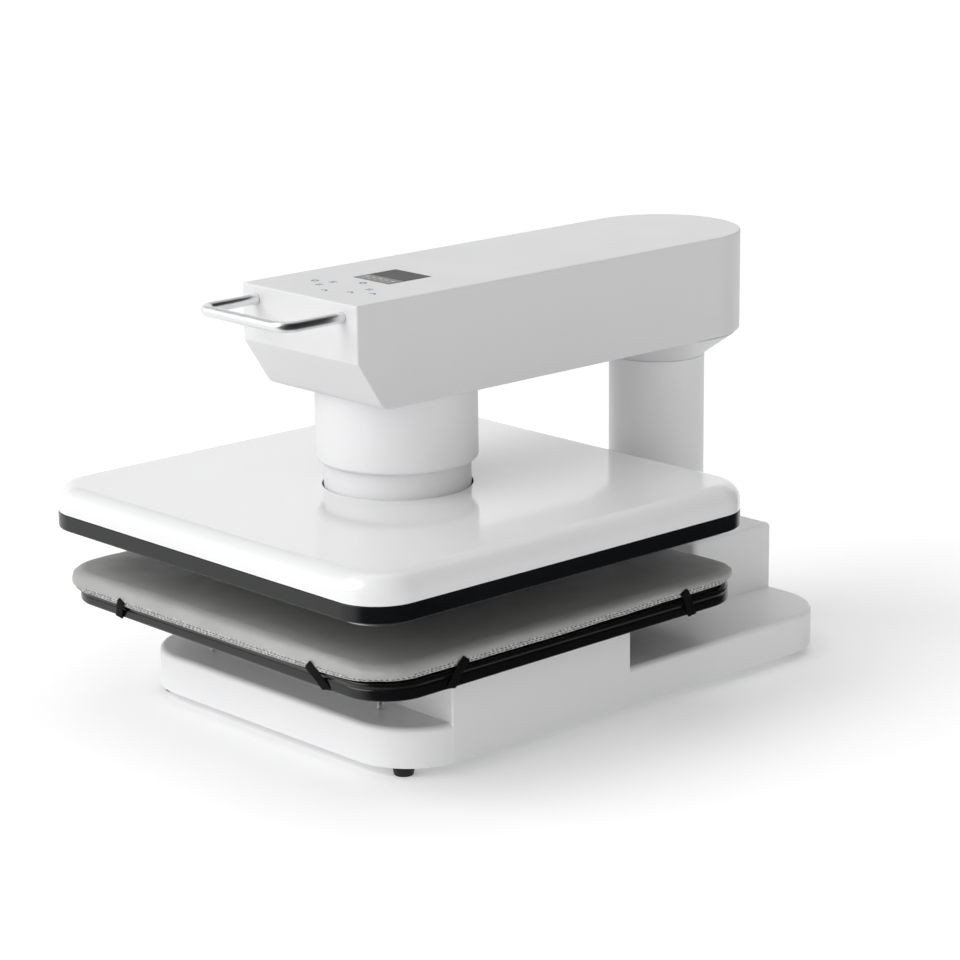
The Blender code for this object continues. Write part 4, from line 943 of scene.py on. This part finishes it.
def make_straps():
    """An elastic at each corner: from the hem over the tray's edge, under it and up the next side."""
    width, thick = 8.5 * MM, 1.1 * MM
    places = {  # from the tray's corner to each leg's top, and its foot's lean towards the corner
        "front_left": ((85 * MM, 8 * MM), (76 * MM, 9 * MM)),
        "front_right": ((77 * MM, 17 * MM), (81 * MM, 15.5 * MM)),
        "rear_left": ((77 * MM, 9 * MM), (80 * MM, 11 * MM)),
        "rear_right": ((79 * MM, 8 * MM), (75 * MM, 10 * MM)),
    }
    for corner in CORNERS:
        side_x = -1 if corner.endswith("left") else 1
        side_y = -1 if corner.startswith("front") else 1
        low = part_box(f"{corner}_strap")[0].z + thick / 2
        legs = []
        for (reach, lean), normal, along, half_out, half_along in (
            (places[corner][0], Vector((0, side_y, 0)), Vector((side_x, 0, 0)), TRAY_HALF.y, TRAY_HALF.x),
            (places[corner][1], Vector((side_x, 0, 0)), Vector((0, side_y, 0)), TRAY_HALF.x, TRAY_HALF.y),
        ):
            def at(shift, z, out):
                spot = normal * (half_out + out) + along * (half_along - reach + shift)
                return Vector((TRAY.x, TRAY.y, z)) + spot

            end = at(0, 0, 0)
            seam = SEAM_Z - sag(end.x, end.y)
            over = 1.5 * MM + 0.9 * MM + PAD_SHIFT.dot(normal)
            down = (at(lean, low, 0) - at(0, seam, 0)).normalized()
            across = down.cross(normal)
            rim = TRAY_HIGH - 2.0 * MM
            fall = [
                (-0.4 * MM, seam + 0.3 * MM, over - 0.9 * MM), (0, seam - 0.6 * MM, over),
                (lean * 0.16, seam - 2.6 * MM, over - 0.1 * MM),
                (lean * 0.3, seam - 4.6 * MM, max(over - 0.4 * MM, 0.9 * MM)),
                (lean * 0.5, min(seam - 6.4 * MM, rim), max(over - 0.8 * MM, 0.9 * MM)),
                (lean * 0.8, low + 4.0 * MM, 0.9 * MM),
            ]
            legs.append([(at(*spot), across, normal) for spot in fall] + [
                (at(lean * 0.95, low + 1.4 * MM, 0.75 * MM), across, normal + Vector((0, 0, -0.25))),
                (at(lean * 1.05, low + 0.25 * MM, -0.4 * MM), along, normal + Vector((0, 0, -1.0))),
            ])
        first, second = legs
        run = second[-1][0] - first[-1][0]
        across_run = run.cross(Vector((0, 0, 1)))
        down = Vector((0, 0, -1))
        inner = [
            (first[-1][0] + run * share + Vector((0, 0, -0.25 * MM)), across_run, down)
            for share in (0.07, 0.3, 0.5, 0.7, 0.93)
        ]
        stations = first + inner + second[::-1]
        fixed, last = [], None
        for point, across, out in stations:
            if last is not None and across.normalized().dot(last) < 0:
                across = -across
            last = across.normalized()
            fixed.append((point, across, out))
        strap = place(
            f"{corner}_elastic", ribbon(fixed, width, thick), "black_elastic", "base", "black_elastic",
            f"{corner}_strap", angle=60,
        )
        finer = strap.modifiers.new("finer", "SUBSURF")
        finer.levels = finer.render_levels = 1


# ------------ arm

def arm_solid(inset, low_extra=0.0):
    """The arm's form shrunk by inset: a side outline met with a plan that is round at the rear."""
    low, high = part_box("arm_shell")
    half = (high.x - low.x) / 2 - inset
    front, rear = low.y + inset, high.y - inset
    rise, run = 38.8 * MM, 25.4 * MM
    slope = hypot(rise, run)
    slide = inset * (slope - rise) / run
    top, bottom = high.z - inset, low.z - low_extra
    drop = low_extra * run / rise
    side = rounded_polygon([
        (front, top, 0, 1),
        (front, low.z + rise + slide, 4 * MM if not inset else 0, 6),
        (front + run + inset * (slope / rise - 1) + drop, bottom, 12 * MM if not inset else 0, 8),
        (rear + 5 * MM, bottom, 0, 1),
        (rear + 5 * MM, top, 0, 1),
    ])
    solid = place("arm_form", prism(side, "X", -half - 10 * MM, half + 10 * MM), "white_paint", None, None)
    plan = [(-half, rear - half), (-half, front - 5 * MM), (half, front - 5 * MM), (half, rear - half)]
    plan += arc(0, rear - half, half, 0, 180, 56)[1:-1]
    return combine(solid, cutter(prism(plan, "Z", bottom - 5 * MM, top + 5 * MM)), "INTERSECT")


def make_arm():
    low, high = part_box("arm_shell")
    arm = arm_solid(0.0)
    arm.name = "arm_casing"
    round_edges(arm, 1.5 * MM)
    combine(arm, arm_solid(3.0 * MM, 12 * MM))
    window_low, window_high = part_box("display_window")
    gap = 0.25 * MM
    opening = box_mesh(
        (window_low.x - gap, window_low.y - gap, high.z - 9 * MM),
        (window_high.x + gap, window_high.y + gap, high.z + 5 * MM),
    )
    combine(arm, cutter(opening))
    _, _, handle, handle_half = measures("handle")
    bar = handle_half.z
    for x in (bar - handle_half.x, handle_half.x - bar):
        ring = arc(x, handle.z, bar + 0.14 * MM, 0, 360, 48)[:-1]
        combine(arm, cutter(prism(ring, "Y", low.y - 8 * MM, low.y + 9 * MM)))
    settle(arm, "arm", "white_paint", "arm_shell")
    even_shading(arm)


def make_collar():
    """The cone under the arm, hollowed for the thrust washer."""
    low, high, _, half = measures("swing_collar")
    top_r, foot_r = half.x, half_size("column").x + 0.1 * MM
    recess_r = half_size("thrust_washer").x + 0.3 * MM
    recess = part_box("thrust_washer")[1].z + 0.3 * MM
    profile = [
        (POST_BORE, high.z), (top_r - 0.6 * MM, high.z), (top_r, high.z - 0.6 * MM),
        (top_r, high.z - 1.2 * MM), (foot_r + 1.6 * MM, low.z + 2.3 * MM),
        (foot_r + 0.5 * MM, low.z + 1.2 * MM), (foot_r, low.z + 0.4 * MM), (foot_r - 0.2 * MM, low.z),
        (recess_r, low.z), (recess_r, recess), (POST_BORE, recess),
    ]
    cone = turned(profile, POST, 120)
    even_shading(place("collar_cone", cone, "white_paint", "arm", "white_paint", "swing_collar", angle=25))


def make_cylinder():
    low, high, _, half = measures("cylinder_housing")
    radius, wall, fillet = half.x, 4.4 * MM, 3.5 * MM
    inner, cap = radius - wall, 4 * MM
    profile = [(24 * MM, high.z), (radius, high.z)] + arc(radius - fillet, low.z + fillet, fillet, 0, -90, 8)
    profile += [(inner, low.z), (inner, high.z - cap), (24 * MM, high.z - cap)]
    # The lighter white paint here is painted fill light, not a different paint.
    housing = place("press_cylinder", turned(profile, PRESS, 144), "white_paint_painted_fill_light", None, None)
    for side in ("left", "right"):
        _, _, rod, rod_half = measures(f"guide_rod_{side}")
        drill(housing, rod_half.x + 0.6 * MM, rod, high.z - 12 * MM, high.z + 5 * MM, 32)
    settle(housing, "arm", "white_paint", "cylinder_housing")
    even_shading(housing)


def make_handle():
    """A bent round bar of polished aluminium, its legs let into the arm's front wall."""
    low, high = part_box("handle")
    radius = (high.z - low.z) / 2
    x, z = high.x - radius, (low.z + high.z) / 2
    bar, tail, bend = low.y + radius, high.y, 12 * MM
    path = [Vector((-x, tail, z)), Vector((-x, tail - 20 * MM, z))]
    steps = 14
    for corner in (-1, 1):
        for step in range(steps + 1):
            turn = pi / 2 * (step if corner < 0 else steps - step) / steps
            path.append(Vector((corner * (x - bend + bend * cos(turn)), bar + bend - bend * sin(turn), z)))
    path += [Vector((x, tail - 20 * MM, z)), Vector((x, tail, z))]
    sides = 40
    rings = []
    for index, point in enumerate(path):
        before, after = path[max(index - 1, 0)], path[min(index + 1, len(path) - 1)]
        along = (after - before).normalized()
        out = Vector((0, 0, 1)).cross(along)
        rings.append([
            point + (out * cos(2 * pi * s / sides) + Vector((0, 0, 1)) * sin(2 * pi * s / sides)) * radius
            for s in range(sides)
        ])
    even_shading(place("carry_handle", skin(rings), "aluminium", "arm", "aluminium", "handle", angle=50))


def make_display():
    """A dark glass window with a lighter band of plain marks along its front, set flush in the arm's top."""
    low, high, centre, half = measures("display_window")
    edge = 0.35 * MM
    profile = [(0, low.z), (0, high.z - edge), (edge * 0.3, high.z - edge * 0.3), (edge, high.z)]
    rings = plan_rings(profile, half, 1.2 * MM, centre, 6)
    glass = place("display_glass", skin(rings), "black_glass", "arm", "black_glass", "display_window", angle=50)
    even_shading(glass)
    band_depth, lift = 15.5 * MM, 0.04 * MM
    band_centre = Vector((centre.x, low.y + 0.5 * MM + band_depth / 2, 0))
    band_size = Vector((half.x - 0.5 * MM, band_depth / 2))
    profile = [(0, high.z - 0.02 * MM), (0, high.z + lift * 0.5), (0.05 * MM, high.z + lift)]
    band = skin(plan_rings(profile, band_size, 0.8 * MM, band_centre, 5))
    place("display_band", band, "label_band", "arm", "black_glass", angle=50)
    bm = bmesh.new()
    pitch = 7.4 * MM
    for row, (depth, size) in enumerate(((9.6 * MM, 1.5 * MM), (4.6 * MM, 0.85 * MM))):
        for column in range(5):
            spot = Vector((centre.x + (column - 2) * pitch, low.y + depth, 0))
            wide = size if (column + row) % 2 else size * 1.35
            profile = [(0, high.z), (0, high.z + lift * 1.6), (0.03 * MM, high.z + lift * 2.2)]
            skin(plan_rings(profile, Vector((wide, size * 0.8)), size * 0.5, spot, 4), into=bm)
    place("display_marks", bm, "label_ink", "arm", "black_glass", angle=50)


def make_touch_marks():
    """Eight printed touch marks in two groups of four: plain chevrons, bars and rings. They don't travel."""
    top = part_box("arm_shell")[1].z
    lift = 0.05 * MM
    places = (
        (-31.2, -53.5, "ring"), (-16.9, -61.5, "bar"), (3.2, -71.6, "chevron"), (-16.8, -47.7, "bar"),
        (23.1, -62.9, "chevron"), (2.6, -34.2, "ring"), (25.3, -47.4, "bar"), (39.6, -54.8, "chevron"),
    )
    levels = (top - 0.01 * MM, top + lift)
    size, pen = 3.0 * MM, 1.9 * MM
    upper = [(-size, -size / 2), (0, size / 2), (size, -size / 2)]
    chevron = upper + [(a, b - pen * 1.2) for a, b in reversed(upper)]
    bm = bmesh.new()
    for x, y, kind in places:
        centre = Vector((x * MM, PRESS.y + y * MM, 0))
        if kind == "ring":
            sides = [[circle_ring(radius, centre, z, 32) for z in levels] for radius in (3.1 * MM, 1.7 * MM)]
            skin(sides[0] + sides[1][::-1], looped=True, into=bm)
        elif kind == "bar":
            for shift in (-1.5 * MM, 1.5 * MM):
                spot = centre + Vector((0, shift, 0))
                skin([plan_ring(2.9 * MM, 0.75 * MM, 0.6 * MM, spot, 0, z, 4) for z in levels], into=bm)
        else:
            skin([[centre + Vector((a, b, z)) for a, b in chevron] for z in levels], into=bm)
    place("touch_marks", bm, "touch_ink", "arm", "white_paint", angle=50)


# ------------ heated head

PLATEN_CORNER = 37 * MM


def make_platen():
    """The lid: one moulding with a wide fillet, open round the inner sleeve."""
    low, high, centre, half = measures("platen_cover")
    fillet, wall, steps = 15 * MM, 2.6 * MM, 24
    hole = half_size("ram_sleeve").x + 1.3 * MM
    lip = 0.8 * MM

    def ring(inset, z):
        return plan_ring(half.x, half.y, PLATEN_CORNER, centre, inset, z, steps)

    count = 4 * (steps + 1)
    rings = [ring(0.5 * MM, low.z), ring(0.15 * MM, low.z + 0.15 * MM), ring(0, low.z + 0.5 * MM)]
    rings += [ring(*spot) for spot in edge_arc(fillet, high.z - fillet, fillet, 0, 90, 16)]
    rings += [circle_ring(hole + lip, PRESS, high.z, count)]
    rings += [circle_ring(r, PRESS, z, count) for r, z in arc(hole + lip, high.z - lip, lip, 110, 180, 4)]
    rings += [circle_ring(hole, PRESS, high.z - wall, count)]
    rings += [ring(*spot) for spot in edge_arc(fillet, high.z - fillet, fillet - wall, 90, 0, 10)]
    rings += [ring(wall, low.z)]
    lid = skin(rings, looped=True)
    even_shading(place("platen_lid", lid, "white_gloss", "head", "white_gloss", "platen_cover"))


def make_platen_band():
    """The black band round the head, with a flange that holds the heating plate."""
    low, high, centre, half = measures("platen_rim")
    edge, wall, lip = 1.2 * MM, 3 * MM, 9 * MM
    profile = [(wall, high.z), (0.6 * MM, high.z)]
    profile += edge_arc(0.6 * MM, high.z - 0.6 * MM, 0.6 * MM, 90, 0, 4)
    profile += edge_arc(edge, low.z + edge, edge, 0, -90, 5)
    profile += [(lip - 0.3 * MM, low.z), (lip, low.z + 0.3 * MM), (lip, low.z + wall), (wall, low.z + wall)]
    rings = plan_rings(profile, half, PLATEN_CORNER, centre, 24)
    band = skin(rings, looped=True)
    even_shading(place("platen_band", band, "black_satin", "head", "black_satin", "platen_rim"))


def make_heating_plate():
    """The cast plate: dark non-stick coating, with a bare chamfer round its lower edge."""
    low, high, centre, half = measures("heating_plate")
    corner, bare = PLATEN_CORNER - 9.6 * MM, 1.5 * MM
    profile = [(0.9 * MM, low.z), (0.45 * MM, low.z + 0.06 * MM), (0.12 * MM, low.z + 0.3 * MM)]
    profile += [(0, low.z + bare), (0, high.z - 0.3 * MM), (0.3 * MM, high.z)]
    rings = plan_rings(profile, half, corner, centre, 20)
    bm = skin(rings)
    plate = place("coated_plate", bm, "black_satin", "head", "aluminium", "heating_plate")
    plate.data.materials.append(FINISHES["bare_edge"])
    for face in plate.data.polygons:
        if low.z + 0.01 * MM < face.center.z < low.z + bare:
            face.material_index = 1
    even_shading(plate)


def make_ram():
    """The sleeve that carries the head, open round the drive nut and flanged inside at its foot."""
    low, high, _, half = measures("ram_sleeve")
    radius, wall, cap, flange, edge = half.x, 3 * MM, 6 * MM, 4 * MM, 0.8 * MM
    inner, nut = radius - wall, 16.3 * MM
    profile = [(nut, high.z)] + arc(radius - edge, high.z - edge, edge, 90, 0, 5)
    profile += [
        (radius, low.z), (inner - 12 * MM, low.z), (inner - 12 * MM, low.z + flange), (inner, low.z + flange),
        (inner, high.z - cap), (nut, high.z - cap),
    ]
    sleeve = turned(profile, PRESS, 144)
    # The lighter white paint here is painted fill light, not a different paint.
    even_shading(place("inner_sleeve", sleeve, "white_paint_painted_fill_light", "head", "white_paint", "ram_sleeve"))


# ------------ CAD nodes that stay

def finish_cad_nodes():
    """Every CAD node that is still shown gets its procedural finish and smooth shading."""
    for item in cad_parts.values():
        if item.hide_render:
            continue
        for material_slot in item.material_slots:
            material_slot.material = FINISHES[material_slot.material.name.split(".")[0]]
        smooth(item.data, 35)
        even_shading(item)


make_finishes()
make_camera()
make_world()
make_lights()
make_floor()
make_base()
make_feet()
make_column()
make_studs()
make_tray()
make_pad()
make_hem()
make_foam()
make_straps()
make_arm()
make_collar()
make_cylinder()
make_handle()
make_display()
make_touch_marks()
make_platen()
make_platen_band()
make_heating_plate()
make_ram()
finish_cad_nodes()
